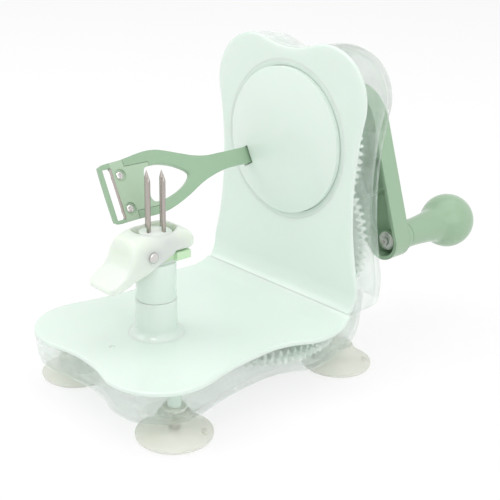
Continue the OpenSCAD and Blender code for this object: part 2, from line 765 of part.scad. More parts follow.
module fork_plate() {
    r = (pow(plate_r, 2) + pow(plate_drop, 2)) / (2 * plate_drop);
    color("white") placed() difference() {
        rotate_extrude() polygon(concat([[0, head_top], [plate_r, head_top]],
            [for (i = [8:-1:0]) let (t = asin(plate_r / r) * i / 8) [r * sin(t), fork_z - r + r * cos(t)]]));
        for (i = [0:3]) rotate(90 * i + tine_turn) translate([tine_pitch, 0, fork_z - tine_in])
            cylinder(h = 10, r = tine_r);
    }
}

tine_point = 4;
module tine(i) {
    color("silver") placed() rotate(90 * i + tine_turn) translate([tine_pitch, 0, fork_z - tine_in]) {
        cylinder(h = tine_h + tine_in - tine_point, r = tine_r);
        translate([0, 0, tine_h + tine_in - tine_point]) cylinder(h = tine_point, r1 = tine_r, r2 = 0.15);
    }
}

module tine_right() {
    tine(0);
}

module tine_back() {
    tine(1);
}

module tine_left() {
    tine(2);
}

module tine_front() {
    tine(3);
}

module lever_pin() {
    color("silver") placed() translate([0, -pivot_y, pivot_z]) rotate([0, 90, 0]) {
        translate([0, 0, -lever_w - face_gap]) cylinder(h = 2 * (lever_w + face_gap), r = pivot_r);
        for (s = [-1, 1]) translate([0, 0, s * (lever_w + face_gap + 0.5) - 0.5])
            cylinder(h = 1, r = pivot_r + 0.9);
    }
}

// Lever: rows along Y, height of the underside and of the crown over Y, and power of the crown's round
lever_rows = [-39.8, -39.3, -38.3, -36.8, -35, -33, -31, -29.4, -28, -26.7, -25.5, -24.5, -23.5, -22.6, -21.5, -20,
    -18, -15.6, -13, -10, -8, -5, -0.4, 4.6, 5.4, 9, 13, 15.6, 17.6, 19.2, 20];
lever_low = [[-39.8, 37.6], [-39.3, 37], [-38.3, 36.7], [-35, 37], [-29.4, 38.2], [-21.5, 40.6], [-13, 43],
    [-8, 45.3], [-5, 46.8], [4.6, 50.6], [5.4, 52.3], [15.6, 52.6], [17.6, 53.2], [19.2, 54.3], [20, 56]];
lever_high = [[-39.8, 38.8], [-39.3, 39.8], [-38.3, 40.9], [-35, 43.4], [-31, 46.5], [-28, 49.4], [-25.5, 54.2],
    [-24.5, 57.6], [-23.5, 60.6], [-22.6, 62.4], [-21.5, 63.6], [-18, 64.8], [-13, 65.5], [-5, 65.8], [9, 65.7],
    [13, 65], [15.6, 63.6], [17.6, 61.6], [19.2, 59], [20, 57]];
lever_round = [[-36, 4.5], [-30, 3.4], [-23, 2.6], [-8, 4.5]];
lever_tip = -lever_rows[0];
lever_tail = lever_rows[len(lever_rows) - 1];
tip_round = 5.5;
tail_round = 4;
lever_front = pivot_y + lug_r + 2.4;
lever_under = [[2.8 - lever_tip, 0], [2.8 - lever_tip, 38.9], [-31, 43.4], [-26, 47.6], [-lever_front, 54],
    [-lever_front, 0]];
lever_hole = plate_r + 1.35;
lever_fore = 3.7;
lever_slack = 1.6;

// Half width of the lever over y, with round corners at the tip and at the tail
function lever_half(y) = let (a = max(0, tip_round - lever_tip - y), b = max(0, y - lever_tail + tail_round))
    lever_w - tip_round + sqrt(pow(tip_round, 2) - a * a) - tail_round + sqrt(pow(tail_round, 2) - b * b);
function lever_ring(y) = let (lo = lookup(y, lever_low), hi = lookup(y, lever_high), w = lever_half(y))
    [for (i = [0:23]) let (c = cos(15 * i), s = sin(15 * i), q = 2 / (s > 0 ? lookup(y, lever_round) : 9))
        [w * sign(c) * pow(abs(c), q), y, (lo + hi) / 2 + (hi - lo) / 2 * sign(s) * pow(abs(s), q)]];

// Solid through rings of points, each counted the same way round
module loft(rings) {
    n = len(rings[0]);
    d = n * (len(rings) - 1);
    polyhedron([for (r = rings) each r], concat(
        [for (k = [0:n:d - n]) for (i = [0:n - 1]) let (a = k + i, b = k + (i + 1) % n)
            each [[a, b, a + n], [b, b + n, a + n]]],
        [[for (i = [n - 1:-1:0]) i], [for (i = [0:n - 1]) d + i]]), convexity = 6);
}

module eject_lever() {
    color("ivory") placed() difference() {
        loft([for (y = lever_rows) lever_ring(y)]);
        across(2 * cheek_in) polygon(lever_under);
        translate([-cheek_in, -lever_front - 0.1, 0])
            cube([2 * cheek_in, lever_front + head_r + 0.8, head_top + face_gap]);
        hull() for (y = [-lever_fore, lever_slack]) translate([0, y, head_top]) cylinder(h = 20, r = lever_hole);
        translate([-40, -pivot_y, pivot_z]) rotate([0, 90, 0]) cylinder(h = 80, r = pivot_r + run_gap);
    }
}

// Arm disc

dome_r = (pow(disc_r, 2) + pow(dome_h, 2)) / (2 * dome_h);
rim_front = panel_y - rim_h;
disc_hub_y = rim_front + 1;
arm_in = disc_r - arm_edge;
root_t = 7;
slot_w = 11.4;
pin_y = panel_y + 1.5;
pin_r = 1.6;

// Stands children at the arm's place: X is outward and Z the way in which the disc swings the arm
module arm_frame() {
    translate([0, 0, disc_z]) rotate([0, -arm_angle, 0]) mirror([0, 0, 1]) children();
}

module dome_disc() {
    color("honeydew") placed() difference() {
        union() {
            intersection() {
                translate([0, rim_front - dome_h + dome_r, disc_z]) sphere(dome_r, $fn = 160);
                rod(rim_front - dome_h - 1, dome_h + 1, disc_r);
            }
            rod(rim_front, gear_front - rim_front, disc_r);
        }
        difference() {
            intersection() {
                translate([0, rim_front - dome_h + dome_r + 2.6, disc_z]) sphere(dome_r, $fn = 160);
                rod(rim_front - dome_h - 1, gear_front - rim_front + dome_h + 2, disc_r - 2.6);
            }
            rod(rim_front - dome_h, 40, shaft_r + 4);
            arm_frame() for (s = [-1, 1]) translate([arm_in - 5, rim_front - dome_h, s * (slot_w / 2 + 1.4) - 1.4])
                cube([root_t + 11, 30, 2.8]);
        }
        rod(disc_hub_y - 0.4, 40, shaft_r + run_gap);
        arm_frame() translate([arm_in - 1.6, panel_y - 30, -slot_w / 2]) cube([root_t + 4.2, 60, slot_w]);
        arm_frame() translate([arm_in + root_t / 2, pin_y, -slot_w / 2 - 2.4]) cylinder(h = slot_w + 4.8, r = pin_r);
    }
}

module disc_gear() {
    color("palegreen") placed() difference() {
        behind(gear_front, feed_w) gear(gear_n, -90 + 180 / gear_n);
        rod(gear_front - 1, 20, shaft_r + run_gap);
        arm_frame() translate([arm_in - 4, gear_front - 1, -slot_w / 2]) cube([root_t + 10, 20, slot_w]);
        for (i = [0:4]) arm_frame() rotate([0, 60 * (i + 1), 0]) translate([gear_pr * 0.58, gear_front - 1, 0])
            rotate([-90, 0, 0]) cylinder(h = 20, r = gear_pr * 0.2);
    }
}

module arm_pin() {
    color("silver") placed() arm_frame() translate([arm_in + root_t / 2, pin_y, -slot_w / 2 - 2.4])
        cylinder(h = slot_w + 4.8, r = pin_r);
}

// Peeling arm: its outline lies in Y and the swing's direction

function smooth(p, n) = [for (i = [0:len(p) - 1]) for (k = [0:n - 1]) let (m = len(p), t = k / n,
    a = p[(i + m - 1) % m], b = p[i], c = p[(i + 1) % m], d = p[(i + 2) % m])
    0.5 * (2 * b + (c - a) * t + (2 * a - 5 * b + 4 * c - d) * t * t + (3 * b - a - 3 * c + d) * t * t * t)];
root_w = 10.2;
head_in = 12;
head_out = 23.2;
head_tip = -arm_reach;
arm_side = [[head_tip, head_in - 4.2], [head_tip + 1.2, head_in - 1.2], [head_tip + 4.2, head_in], [-2, head_in + 0.8],
    [12, head_in + 2.8], [20, head_in + 3.2], [28, head_in + 2], [41, 9.8], [50, 7], [60, 5.2], [72, root_w / 2],
    [pin_y - 2, root_w / 2], [pin_y + 2.4, root_w / 2 - 2.4], [pin_y + 2.4, 2.4 - root_w / 2],
    [pin_y - 2, -root_w / 2], [80, -root_w / 2], [69, -6.3], [58, -8.8], [49, -12], [39, -16.5], [26, -21],
    [16, -22.8], [0, -head_out + 0.4], [head_tip + 4.2, -head_out], [head_tip + 1.2, -head_out + 1.2],
    [head_tip, -head_out + 4.2]];
arm_window = [[12.5, 4.6], [18, 6.3], [26, 5.7], [35, 2.9], [42.6, -1.6], [43.6, -5], [38, -9.6], [29.5, -13.2],
    [20.5, -15.2], [12.5, -14.6], [11, -5]];
mouth_y = head_tip + 2.6;
mouth_w = 5.6;
mouth_h = blade_l + 0.4;
mouth_t = 1.8;
blade_mid = -6;
lip_y = mouth_y + mouth_w;
lip_w = 2;

// Draws a profile through the arm's thickness, from radius x
module arm_plate(x, t) {
    arm_frame() translate([x, 0, 0]) rotate([90, 0, 90]) linear_extrude(t, convexity = 6) children();
}

module arm_plan() {
    difference() {
        polygon(smooth(arm_side, 4));
        polygon(smooth(arm_window, 4));
        translate([mouth_y, blade_mid - mouth_h / 2]) square([mouth_w, mouth_h]);
    }
}

// The holder reaches over the whole head in front and has a tongue behind; e widens its pocket
module holder_plan(e) {
    translate([lip_y, -40]) square([-0.4 + e - lip_y, 80]);
    translate([lip_y, -18 - e]) square([16.8 + e - lip_y, 26.6 + 2 * e]);
}

module at_blade_screws(x) {
    for (s = [-1, 1]) arm_frame() translate([x, screw_at, blade_mid + s * screw_d]) rotate([0, 90, 0]) children();
}

module peel_arm() {
    color("darkseagreen") placed() difference() {
        union() {
            intersection() {
                arm_plate(arm_in, root_t) arm_plan();
                arm_frame() translate([0, 0, -40]) linear_extrude(80) polygon([[arm_in, head_tip - 1],
                    [arm_in + mouth_t, head_tip - 1], [arm_in + mouth_t, mouth_y], [arm_in + arm_t, lip_y],
                    [arm_in + arm_t, pin_y - 11], [arm_in + root_t, pin_y - 6], [arm_in + root_t, pin_y + 5],
                    [arm_in, pin_y + 5]]);
            }
            at_blade_screws(arm_in + holder_t) cylinder(h = boss_t, r = screw_r + 1.6);
        }
        arm_plate(arm_in - 1, 1 + holder_t) holder_plan(0.2);
        arm_plate(arm_in - 1, arm_t + 2) translate([lip_y - 1, blade_mid - mouth_h / 2 + 1])
            square([lip_w + 1, mouth_h - 2]);
        at_blade_screws(arm_in) cylinder(h = holder_t + boss_t - 1, r = screw_r);
        arm_frame() translate([arm_in + root_t / 2, pin_y, -20]) cylinder(h = 40, r = pin_r + run_gap);
    }
}

holder_t = 1.8;
boss_t = 4.2;
screw_at = -4.4;
screw_d = 10;
sunk_t = 1;
module blade_holder() {
    color("darkseagreen") placed() difference() {
        arm_plate(arm_in, holder_t) intersection() {
            arm_plan();
            holder_plan(0);
        }
        at_blade_screws(arm_in - 1) cylinder(h = 10, r = screw_r);
        at_blade_screws(arm_in - 1) cylinder(h = 1 + sunk_t, r = screw_r * 2.5);
    }
}

module blade() {
    color("silver") placed() arm_frame() translate([arm_in - 0.7, lip_y - blade_t, blade_mid - blade_l / 2])
        cube([holder_t + 0.1, blade_t, blade_l]);
}

module blade_screw(s) {
    color("silver") placed() arm_frame() translate([arm_in + sunk_t - 0.8, screw_at, blade_mid + s * screw_d])
        rotate([0, 90, 0]) {
            cylinder(h = holder_t + boss_t - 1.4, r = screw_r);
            cylinder(h = 0.8, r = screw_r * 1.6);
        }
}

module blade_screw_upper() {
    blade_screw(1);
}

module blade_screw_lower() {
    blade_screw(-1);
}

base_shell();
tray();
front_panel();
rear_shell();
disc_ring();
spindle_post();
spindle_bush();
step_bush();
crown_post();
crank_bush();
shaft_bush_front();
shaft_bush_rear();
cup_front_left();
cup_front_right();
cup_rear_left();
cup_rear_right();
foot_screw_left();
foot_screw_right();
crank_shaft();
crank_pinion();
crank_arm();
crank_screw();
knob_bolt();
knob_washer();
knob();
transfer_shaft();
transfer_wheel();
feed_pinion();
crown_wheel();
spindle_sleeve();
spindle_pinion();
fork_head();
fork_plate();
tine_front();
tine_right();
tine_back();
tine_left();
lever_pin();
eject_lever();
dome_disc();
disc_gear();
arm_pin();
peel_arm();
blade_holder();
blade();
blade_screw_upper();
blade_screw_lower();
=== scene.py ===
import json
import math

import bmesh
import bpy
import numpy as np
from mathutils import Matrix, Vector


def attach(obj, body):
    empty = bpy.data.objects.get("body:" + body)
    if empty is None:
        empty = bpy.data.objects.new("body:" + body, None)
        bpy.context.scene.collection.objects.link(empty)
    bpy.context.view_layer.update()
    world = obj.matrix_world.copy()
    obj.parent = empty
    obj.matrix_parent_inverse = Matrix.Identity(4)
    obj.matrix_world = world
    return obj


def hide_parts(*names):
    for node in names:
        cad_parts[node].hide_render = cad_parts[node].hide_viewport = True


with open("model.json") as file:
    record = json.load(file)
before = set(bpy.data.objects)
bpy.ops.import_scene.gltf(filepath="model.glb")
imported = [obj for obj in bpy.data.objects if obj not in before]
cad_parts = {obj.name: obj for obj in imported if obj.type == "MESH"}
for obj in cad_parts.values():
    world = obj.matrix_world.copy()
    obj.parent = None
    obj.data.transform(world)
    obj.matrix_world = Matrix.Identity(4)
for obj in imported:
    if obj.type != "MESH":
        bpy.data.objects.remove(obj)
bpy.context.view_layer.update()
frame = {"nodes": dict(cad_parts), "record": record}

nodes = frame["nodes"]

# Lengths are in millimetres, from the spindle's axis and the top of the tray, up to the studio at the end.
origin = np.array([0.0, -92.5, 38.0])
housing = {
    "panelY": 101.5, "discZ": 100.6, "plate": 2.6, "bend": 18.0, "wall": 2.2,
    "feet": [(48.0, -25.0), (-48.0, -25.0), (48.0, 108.0), (-48.0, 108.0)],
}
bendY = housing["panelY"] - housing["bend"]
toRight, toRear, toTop = (1, 0, 0), (0, 1, 0), (0, 0, 1)
upwards, sideways = [toRight, toRear, toTop], [toRear, toTop, toRight]


# sRGB hex to the linear colour that shaders take
def linear(code):
    values = [int(code[i:i + 2], 16) / 255 for i in (1, 3, 5)]
    return tuple(v / 12.92 if v <= 0.04045 else ((v + 0.055) / 1.055) ** 2.4 for v in values) + (1.0,)


# one shader node with its settings, and its links as input: output socket
def addNode(tree, kind, settings=None, links=None):
    node = tree.nodes.new(kind)
    for key, value in (settings or {}).items():
        if key in node.inputs:
            node.inputs[key].default_value = value
        else:
            setattr(node, key, value)
    for key, socket in (links or {}).items():
        tree.links.new(socket, node.inputs[key])
    return node


# look: name, base and shade colour (mottled over "cloud" mm, stretched by "drawn"), rough (low, high), "grain"
# in mm and its bump, edge (soft moulded edge in mm), see (how much a clear wall hides, face on and edge on) and
# values for the shader's own sockets
def moulded(look):
    material = bpy.data.materials.new(look["name"])
    material.use_nodes = True
    tree = material.node_tree
    tree.nodes.clear()
    place = addNode(tree, "ShaderNodeTexCoord")
    drawn = addNode(tree, "ShaderNodeMapping", {"Scale": look.get("drawn", (1, 1, 1))},
                    {"Vector": place.outputs["Object"]})
    cloud = addNode(tree, "ShaderNodeTexNoise", {"Scale": 1000 / look["cloud"], "Detail": 3.0, "Roughness": 0.55},
                    {"Vector": drawn.outputs["Vector"]})
    colour = addNode(tree, "ShaderNodeMixRGB", {"Color1": linear(look["base"]), "Color2": linear(look["shade"])},
                     {"Fac": cloud.outputs["Fac"]})
    grain = addNode(tree, "ShaderNodeTexNoise", {"Scale": 1000 / look["grain"], "Detail": 2.0},
                    {"Vector": place.outputs["Object"]})
    rough = addNode(tree, "ShaderNodeMapRange", {"To Min": look["rough"][0], "To Max": look["rough"][1]},
                    {"Value": cloud.outputs["Fac"]})
    shader = addNode(tree, "ShaderNodeBsdfPrincipled", look.get("shader"),
                     {"Base Color": colour.outputs["Color"], "Roughness": rough.outputs["Result"]})
    if "see" in look:
        edgeOn = addNode(tree, "ShaderNodeLayerWeight", {"Blend": 0.35})
        see = addNode(tree, "ShaderNodeMapRange", {"To Min": look["see"][0], "To Max": look["see"][1]},
                      {"Value": edgeOn.outputs["Facing"]})
        tree.links.new(see.outputs["Result"], shader.inputs["Alpha"])
    relief = addNode(tree, "ShaderNodeBump", {"Strength": look["bump"], "Distance": 0.0001},
                     {"Height": grain.outputs["Fac"]})
    if "edge" in look:
        soft = addNode(tree, "ShaderNodeBevel", {"samples": 6, "Radius": look["edge"] / 1000})
        tree.links.new(soft.outputs["Normal"], relief.inputs["Normal"])
    tree.links.new(relief.outputs["Normal"], shader.inputs["Normal"])
    addNode(tree, "ShaderNodeOutputMaterial", None, {"Surface": shader.outputs["BSDF"]})
    return material


# pale mint ABS, polished mould: milky, a soft gloss, and a breath of light through thin plates
mintAbs = moulded({
    "name": "mintAbs", "base": "#dceae1", "shade": "#e1ede5", "cloud": 60, "rough": (0.13, 0.20),
    "grain": 0.8, "bump": 0.04, "edge": 0.6,
    "shader": {"IOR": 1.52, "Subsurface Weight": 0.2, "Subsurface Radius": (2.0, 3.2, 2.4),
               "Subsurface Scale": 0.001},
})
# grey-green ABS of the arm, the crank and the knob: fuller colour, soft sheen
sageAbs = moulded({
    "name": "sageAbs", "base": "#9bb99b", "shade": "#a1bea1", "cloud": 45, "rough": (0.15, 0.22),
    "grain": 0.7, "bump": 0.06, "edge": 0.7, "shader": {"IOR": 1.52},
})
# milky polypropylene of the lever, nearly white: light glows in its edges
milkPolypropylene = moulded({
    "name": "milkPolypropylene", "base": "#dee8dc", "shade": "#e2ebdf", "cloud": 30, "rough": (0.30, 0.40),
    "grain": 0.7, "bump": 0.05, "edge": 0.6,
    "shader": {"IOR": 1.49, "Subsurface Weight": 0.7, "Subsurface Radius": (8.0, 9.0, 6.5),
               "Subsurface Scale": 0.001},
})
# light green polypropylene of the fork's head, seen under the lever and through its hole
limePolypropylene = moulded({
    "name": "limePolypropylene", "base": "#c6e6be", "shade": "#cfeac8", "cloud": 20, "rough": (0.30, 0.40),
    "grain": 0.7, "bump": 0.05, "edge": 0.5,
    "shader": {"IOR": 1.49, "Subsurface Weight": 0.4, "Subsurface Radius": (2.0, 3.0, 2.0),
               "Subsurface Scale": 0.001},
})
# white acetal of the fork's plate: hard and a little waxy
whiteAcetal = moulded({
    "name": "whiteAcetal", "base": "#e3ebe6", "shade": "#e8eeea", "cloud": 12, "rough": (0.24, 0.34),
    "grain": 0.5, "bump": 0.04, "edge": 0.5,
    "shader": {"IOR": 1.48, "Subsurface Weight": 0.2, "Subsurface Scale": 0.001},
})
# gear nylon: nearly white green, dull, with the fine grain of a moulded tooth
gearNylon = moulded({
    "name": "gearNylon", "base": "#eaf3ec", "shade": "#f0f6f1", "cloud": 25, "rough": (0.40, 0.52),
    "grain": 0.5, "bump": 0.08, "edge": 0.25, "shader": {"IOR": 1.53},
})
# bearing acetal: creamy and plain
bushAcetal = moulded({
    "name": "bushAcetal", "base": "#e0e4da", "shade": "#e6e9e0", "cloud": 15, "rough": (0.35, 0.45),
    "grain": 0.5, "bump": 0.05, "edge": 0.4, "shader": {"IOR": 1.48},
})
# clear styrene of the two shells: thin, glossy and a little milky, faint green, low flow waves; the low index
# stands for the thin wall, which bends no light to speak of
clearStyrene = moulded({
    "name": "clearStyrene", "base": "#d3f0df", "shade": "#ddf4e6", "cloud": 40, "rough": (0.01, 0.03),
    "grain": 14, "bump": 0.04, "see": (0.08, 0.5), "shader": {"IOR": 1.4, "Transmission Weight": 0.9},
})
# soft clear vinyl of the suction feet: cloudy, slightly yellow
softVinyl = moulded({
    "name": "softVinyl", "base": "#f0f2e6", "shade": "#f4f6ec", "cloud": 18, "rough": (0.14, 0.24),
    "grain": 3, "bump": 0.08, "edge": 0.5, "see": (0.72, 0.92),
    "shader": {"IOR": 1.25, "Transmission Weight": 0.45},
})
# stainless wire of the tines and pins: drawn, warm grey, streaks along the wire
stainlessSteel = moulded({
    "name": "stainlessSteel", "base": "#a9a19b", "shade": "#c3bcb7", "cloud": 1.2, "drawn": (1, 1, 0.06),
    "rough": (0.22, 0.30), "grain": 0.5, "bump": 0.02, "edge": 0.15, "shader": {"Metallic": 1.0},
})
# bright plated steel of the screws and rivets: paler, nearly a mirror
platedSteel = moulded({
    "name": "platedSteel", "base": "#d2cfcd", "shade": "#dbd9d7", "cloud": 6, "rough": (0.14, 0.20),
    "grain": 0.4, "bump": 0.02, "edge": 0.12, "shader": {"Metallic": 1.0},
})
# the blade holder's own moulding of the grey-green ABS, a shade paler than the arm
paleSageAbs = moulded({
    "name": "paleSageAbs", "base": "#afc8ad", "shade": "#b5cdb3", "cloud": 45, "rough": (0.20, 0.30),
    "grain": 0.7, "bump": 0.06, "edge": 0.5, "shader": {"IOR": 1.52},
})

slotLooks = {
    "clear_plastic": clearStyrene, "mint_plastic": mintAbs, "sage_plastic": sageAbs,
    "ivory_plastic": milkPolypropylene, "lime_plastic": limePolypropylene, "white_plastic": whiteAcetal,
    "gear_plastic": gearNylon, "bush_plastic": bushAcetal, "soft_vinyl": softVinyl, "steel": stainlessSteel,
}
print("materials ready:", len(slotLooks))


# quads of a grid of points; wrap closes its columns to a ring, and loop its rows
def gridFaces(rows, cols, wrap=False, loop=False):
    index = np.arange(rows * cols).reshape(rows, cols)
    index = np.vstack([index, index[:1]]) if loop else index
    left, right = (index, np.roll(index, -1, axis=1)) if wrap else (index[:, :-1], index[:, 1:])
    return np.stack([left[:-1], right[:-1], right[1:], left[1:]], axis=-1).reshape(-1, 4)


# triangles from a ring to one point, kept as quads with the last corner doubled
def fanFaces(ring, pole):
    tip = np.full(len(ring), pole)
    return np.stack([ring, np.roll(ring, -1), tip, tip], axis=-1)


def addObject(name, data):
    made = bpy.data.objects.new(name, data)
    bpy.context.scene.collection.objects.link(made)
    return made


# an object from points and from faces as lists of point numbers
def meshObject(name, points, faces):
    mesh = bpy.data.meshes.new(name)
    rows = [row[:3] if row[2] == row[3] else row for row in faces]
    mesh.from_pydata(((np.asarray(points, float) + origin) / 1000).tolist(), [], rows)
    work = bmesh.new()
    work.from_mesh(mesh)
    bmesh.ops.remove_doubles(work, verts=work.verts, dist=1e-6)
    bmesh.ops.recalc_face_normals(work, faces=work.faces)
    work.to_mesh(mesh)
    work.free()
    return addObject(name, mesh)


# a wall between an outer and an inner skin of the same faces, closed along their free edges
def walledObject(name, outer, inner, faces):
    count = len(outer)
    edges = np.concatenate([faces[:, [i, (i + 1) % 4]] for i in range(4)])
    edges = edges[edges[:, 0] != edges[:, 1]]
    _, where, times = np.unique(np.sort(edges, axis=1), axis=0, return_index=True, return_counts=True)
    rim = edges[where[times == 1]]
    walls = np.stack([rim[:, 1], rim[:, 0], rim[:, 0] + count, rim[:, 1] + count], axis=1)
    inside = faces[:, [1, 0, 3, 2]] + count
    inside = np.where((faces[:, 2] == faces[:, 3])[:, None], faces[:, [1, 0, 2, 2]] + count, inside)
    return meshObject(name, np.concatenate([outer, inner]), np.concatenate([faces, inside, walls]).tolist())


# takes the tools' space out of a piece, or adds it, and bakes the result into its mesh
def carve(piece, tools, operation="DIFFERENCE"):
    for tool in tools:
        cut = piece.modifiers.new("carve", "BOOLEAN")
        cut.operation, cut.solver, cut.object = operation, "EXACT", tool
    bpy.context.view_layer.update()
    baked = bpy.data.meshes.new_from_object(piece.evaluated_get(bpy.context.evaluated_depsgraph_get()))
    piece.modifiers.clear()
    piece.data = baked
    for tool in tools:
        bpy.data.objects.remove(tool)


def finishPiece(piece, look):
    piece.data.materials.clear()
    piece.data.materials.append(slotLooks[look["slot"]])
    piece.data.shade_smooth()
    piece.data.set_sharp_from_angle(angle=math.radians(35))
    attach(piece, look["body"])
    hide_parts(*look["stands"])
    print(piece.name, "faces:", len(piece.data.polygons))


# a profile of (radius, height) turned around an axis that leaves "at" along "along"
def turned(name, profile, at, along, steps=96):
    radius, height = np.asarray(profile, float).T
    turn = np.linspace(0, 2 * np.pi, steps, endpoint=False)
    axis = np.asarray(along, float)
    side = np.array([0.0, 1.0, 0.0]) if abs(axis[1]) < 0.5 else np.array([0.0, 0.0, 1.0])
    ring = np.cos(turn)[:, None] * side + np.sin(turn)[:, None] * np.cross(axis, side)
    points = np.asarray(at, float) + radius[:, None, None] * ring + height[:, None, None] * axis
    return meshObject(name, points.reshape(-1, 3), gridFaces(len(radius), steps, True).tolist())


# a straight round tool for carving
def rodTool(at, along, radius, length, steps=96):
    return turned("tool", [(0, 0), (radius, 0), (radius, length), (0, length)], at, along, steps)


# a closed outline of (a, b) drawn out by length; axes gives the directions of a, b and the length
def prismTool(outline, at, axes, length):
    axes = np.asarray(axes, float)
    flat = np.asarray(at, float) + np.asarray(outline, float) @ axes[:2]
    ring = np.arange(len(flat))
    far = ring + len(flat)
    sides = np.stack([ring, np.roll(ring, -1), np.roll(far, -1), far], axis=1).tolist()
    ends = [ring[::-1].tolist(), far.tolist()]
    return meshObject("tool", np.concatenate([flat, flat + length * axes[2]]), sides + ends)


# smooth curve through points (Catmull-Rom), n points for each span
def curveThrough(points, n):
    line = np.asarray(points, float)
    around = (np.vstack([line[:1], line[:-1]]), line, np.vstack([line[1:], line[-1:]]),
              np.vstack([line[2:], line[-1:], line[-1:]]))
    a, b, c, d = (v[:, None, :] for v in around)
    t = np.linspace(0, 1, n, endpoint=False)[None, :, None]
    path = 0.5 * (2 * b + (c - a) * t + (2 * a - 5 * b + 4 * c - d) * t ** 2 + (3 * b - a - 3 * c + d) * t ** 3)
    return np.vstack([path.reshape(-1, 2)[:-n], line[-1:]])


# points on arcs of (x, y, radius, side, from, to, steps), set in by inset; side 1 is a hollow arc, -1 a full one
def arcPoints(arcs, inset):
    parts = []
    for x, y, radius, side, start, end, steps in arcs:
        t = np.radians(np.linspace(start, end, steps, endpoint=False))
        reach = radius + side * inset
        parts.append(np.stack([x + reach * np.cos(t), y + reach * np.sin(t)], axis=1))
    return np.concatenate(parts)


def angle(dy, dx):
    return math.degrees(math.atan2(dy, dx))


# radius of the arc that touches a circle from outside: the circle of radius r lies dx, dy from the arc's own
# foot and reaches past that foot by "past"
def touching(dx, dy, r, past):
    return (dx ** 2 + dy ** 2 - r ** 2) / (2 * past)


# The tray's outline is a chain of arcs: notch, lobe, side, waist, hip, flank and corner. Below, R is an arc's
# radius, and A the angle at which it meets the next one.
tray = {
    "lobeX": 33.7, "lobeY": 23.0, "lobeR": 34.0, "notchY": 51.7, "waistX": 60.0, "waistY": 36.0, "waistR": 45.0,
    "hipX": 70.0, "hipY": 71.2, "flankR": 90.0, "cornerR": 25.0, "rearY": 137.5, "rearSteps": 12,
    "edge": 1.1, "deep": 1.1, "hole": 15.3, "rings": 50, "seamSteps": 40, "seamLean": 0.02,
    "dimpleY": -32.0, "dimpleR": 1.5, "dimple": 0.4,
    "body": "housing", "slot": "mint_plastic", "stands": ["tray"],
}
notchR = touching(tray["lobeX"], tray["notchY"] - tray["lobeY"], tray["lobeR"],
                  tray["lobeR"] - tray["notchY"] + tray["lobeY"])
notchC = -tray["notchY"] - notchR
sideR = touching(tray["waistX"] - tray["lobeX"], tray["waistY"] + tray["lobeY"], tray["lobeR"],
                 tray["lobeR"] - tray["waistX"] + tray["lobeX"])
sideC = tray["waistX"] + sideR
waistC = tray["waistX"] + tray["waistR"]
hipR = touching(waistC - tray["hipX"], tray["hipY"] - tray["waistY"], tray["waistR"],
                tray["waistR"] - waistC + tray["hipX"])
hipC = tray["hipX"] - hipR
flankC = tray["hipX"] - tray["flankR"]
cornerY = tray["rearY"] - tray["cornerR"]
cornerX = flankC + math.sqrt((tray["flankR"] - tray["cornerR"]) ** 2 - (cornerY - tray["hipY"]) ** 2)
notchA = angle(-tray["lobeY"] - notchC, tray["lobeX"])
sideA = angle(tray["waistY"] + tray["lobeY"], sideC - tray["lobeX"])
hipA = angle(tray["hipY"] - tray["waistY"], hipC - waistC)
cornerA = angle(cornerY - tray["hipY"], cornerX - flankC)
baseArcs = [
    (0, notchC, notchR, 1, 90, notchA, 14),
    (tray["lobeX"], -tray["lobeY"], tray["lobeR"], -1, notchA + 180, sideA + 360, 64),
    (sideC, tray["waistY"], sideR, 1, sideA + 180, 180, 18),
    (waistC, tray["waistY"], tray["waistR"], 1, 180, hipA, 18),
    (hipC, tray["hipY"], hipR, -1, hipA - 180, 0, 16),
    (flankC, tray["hipY"], tray["flankR"], -1, 0, cornerA, 24),
    (cornerX, cornerY, tray["cornerR"], -1, cornerA, 90, 26),
]


# closed outline of the base from the notch over +X to the rear and back, set in by inset
def baseOutline(inset):
    rearX = np.linspace(cornerX, 0, tray["rearSteps"], endpoint=False)
    rear = np.column_stack([np.append(rearX, 0), np.full(len(rearX) + 1, tray["rearY"] - inset)])
    half = np.concatenate([arcPoints(baseArcs, inset), rear])
    return np.concatenate([half, half[-2:0:-1] * [-1, 1]])


# The panel's outline in the same way: dip between the ears, ear, neck and foot.
panel = {
    "earX": 31.0, "earZ": 131.0, "earR": 32.3, "dipZ": 158.0, "neckX": 57.5, "neckZ": 78.0,
    "footX": 65.3, "footZ": 14.0, "edge": 4.6, "deep": 1.2, "sharp": 1.1, "softLow": 20.0, "softRise": 40.0,
    "hole": 49.9, "rings": 40, "seamSteps": 60, "seamLean": 0.004,
    "body": "housing", "slot": "mint_plastic", "stands": ["front_panel"],
}
dipR = touching(panel["earX"], panel["dipZ"] - panel["earZ"], panel["earR"],
                panel["earR"] - panel["dipZ"] + panel["earZ"])
dipC = panel["dipZ"] + dipR
neckR = touching(panel["neckX"] - panel["earX"], panel["earZ"] - panel["neckZ"], panel["earR"],
                 panel["earR"] - panel["neckX"] + panel["earX"])
neckC = panel["neckX"] + neckR
footR = touching(neckC - panel["footX"], panel["neckZ"] - panel["footZ"], neckR, neckR - neckC + panel["footX"])
footC = panel["footX"] - footR
dipA = angle(panel["earZ"] - dipC, panel["earX"])
neckA = angle(panel["neckZ"] - panel["earZ"], neckC - panel["earX"])
footA = angle(panel["footZ"] - panel["neckZ"], footC - neckC)


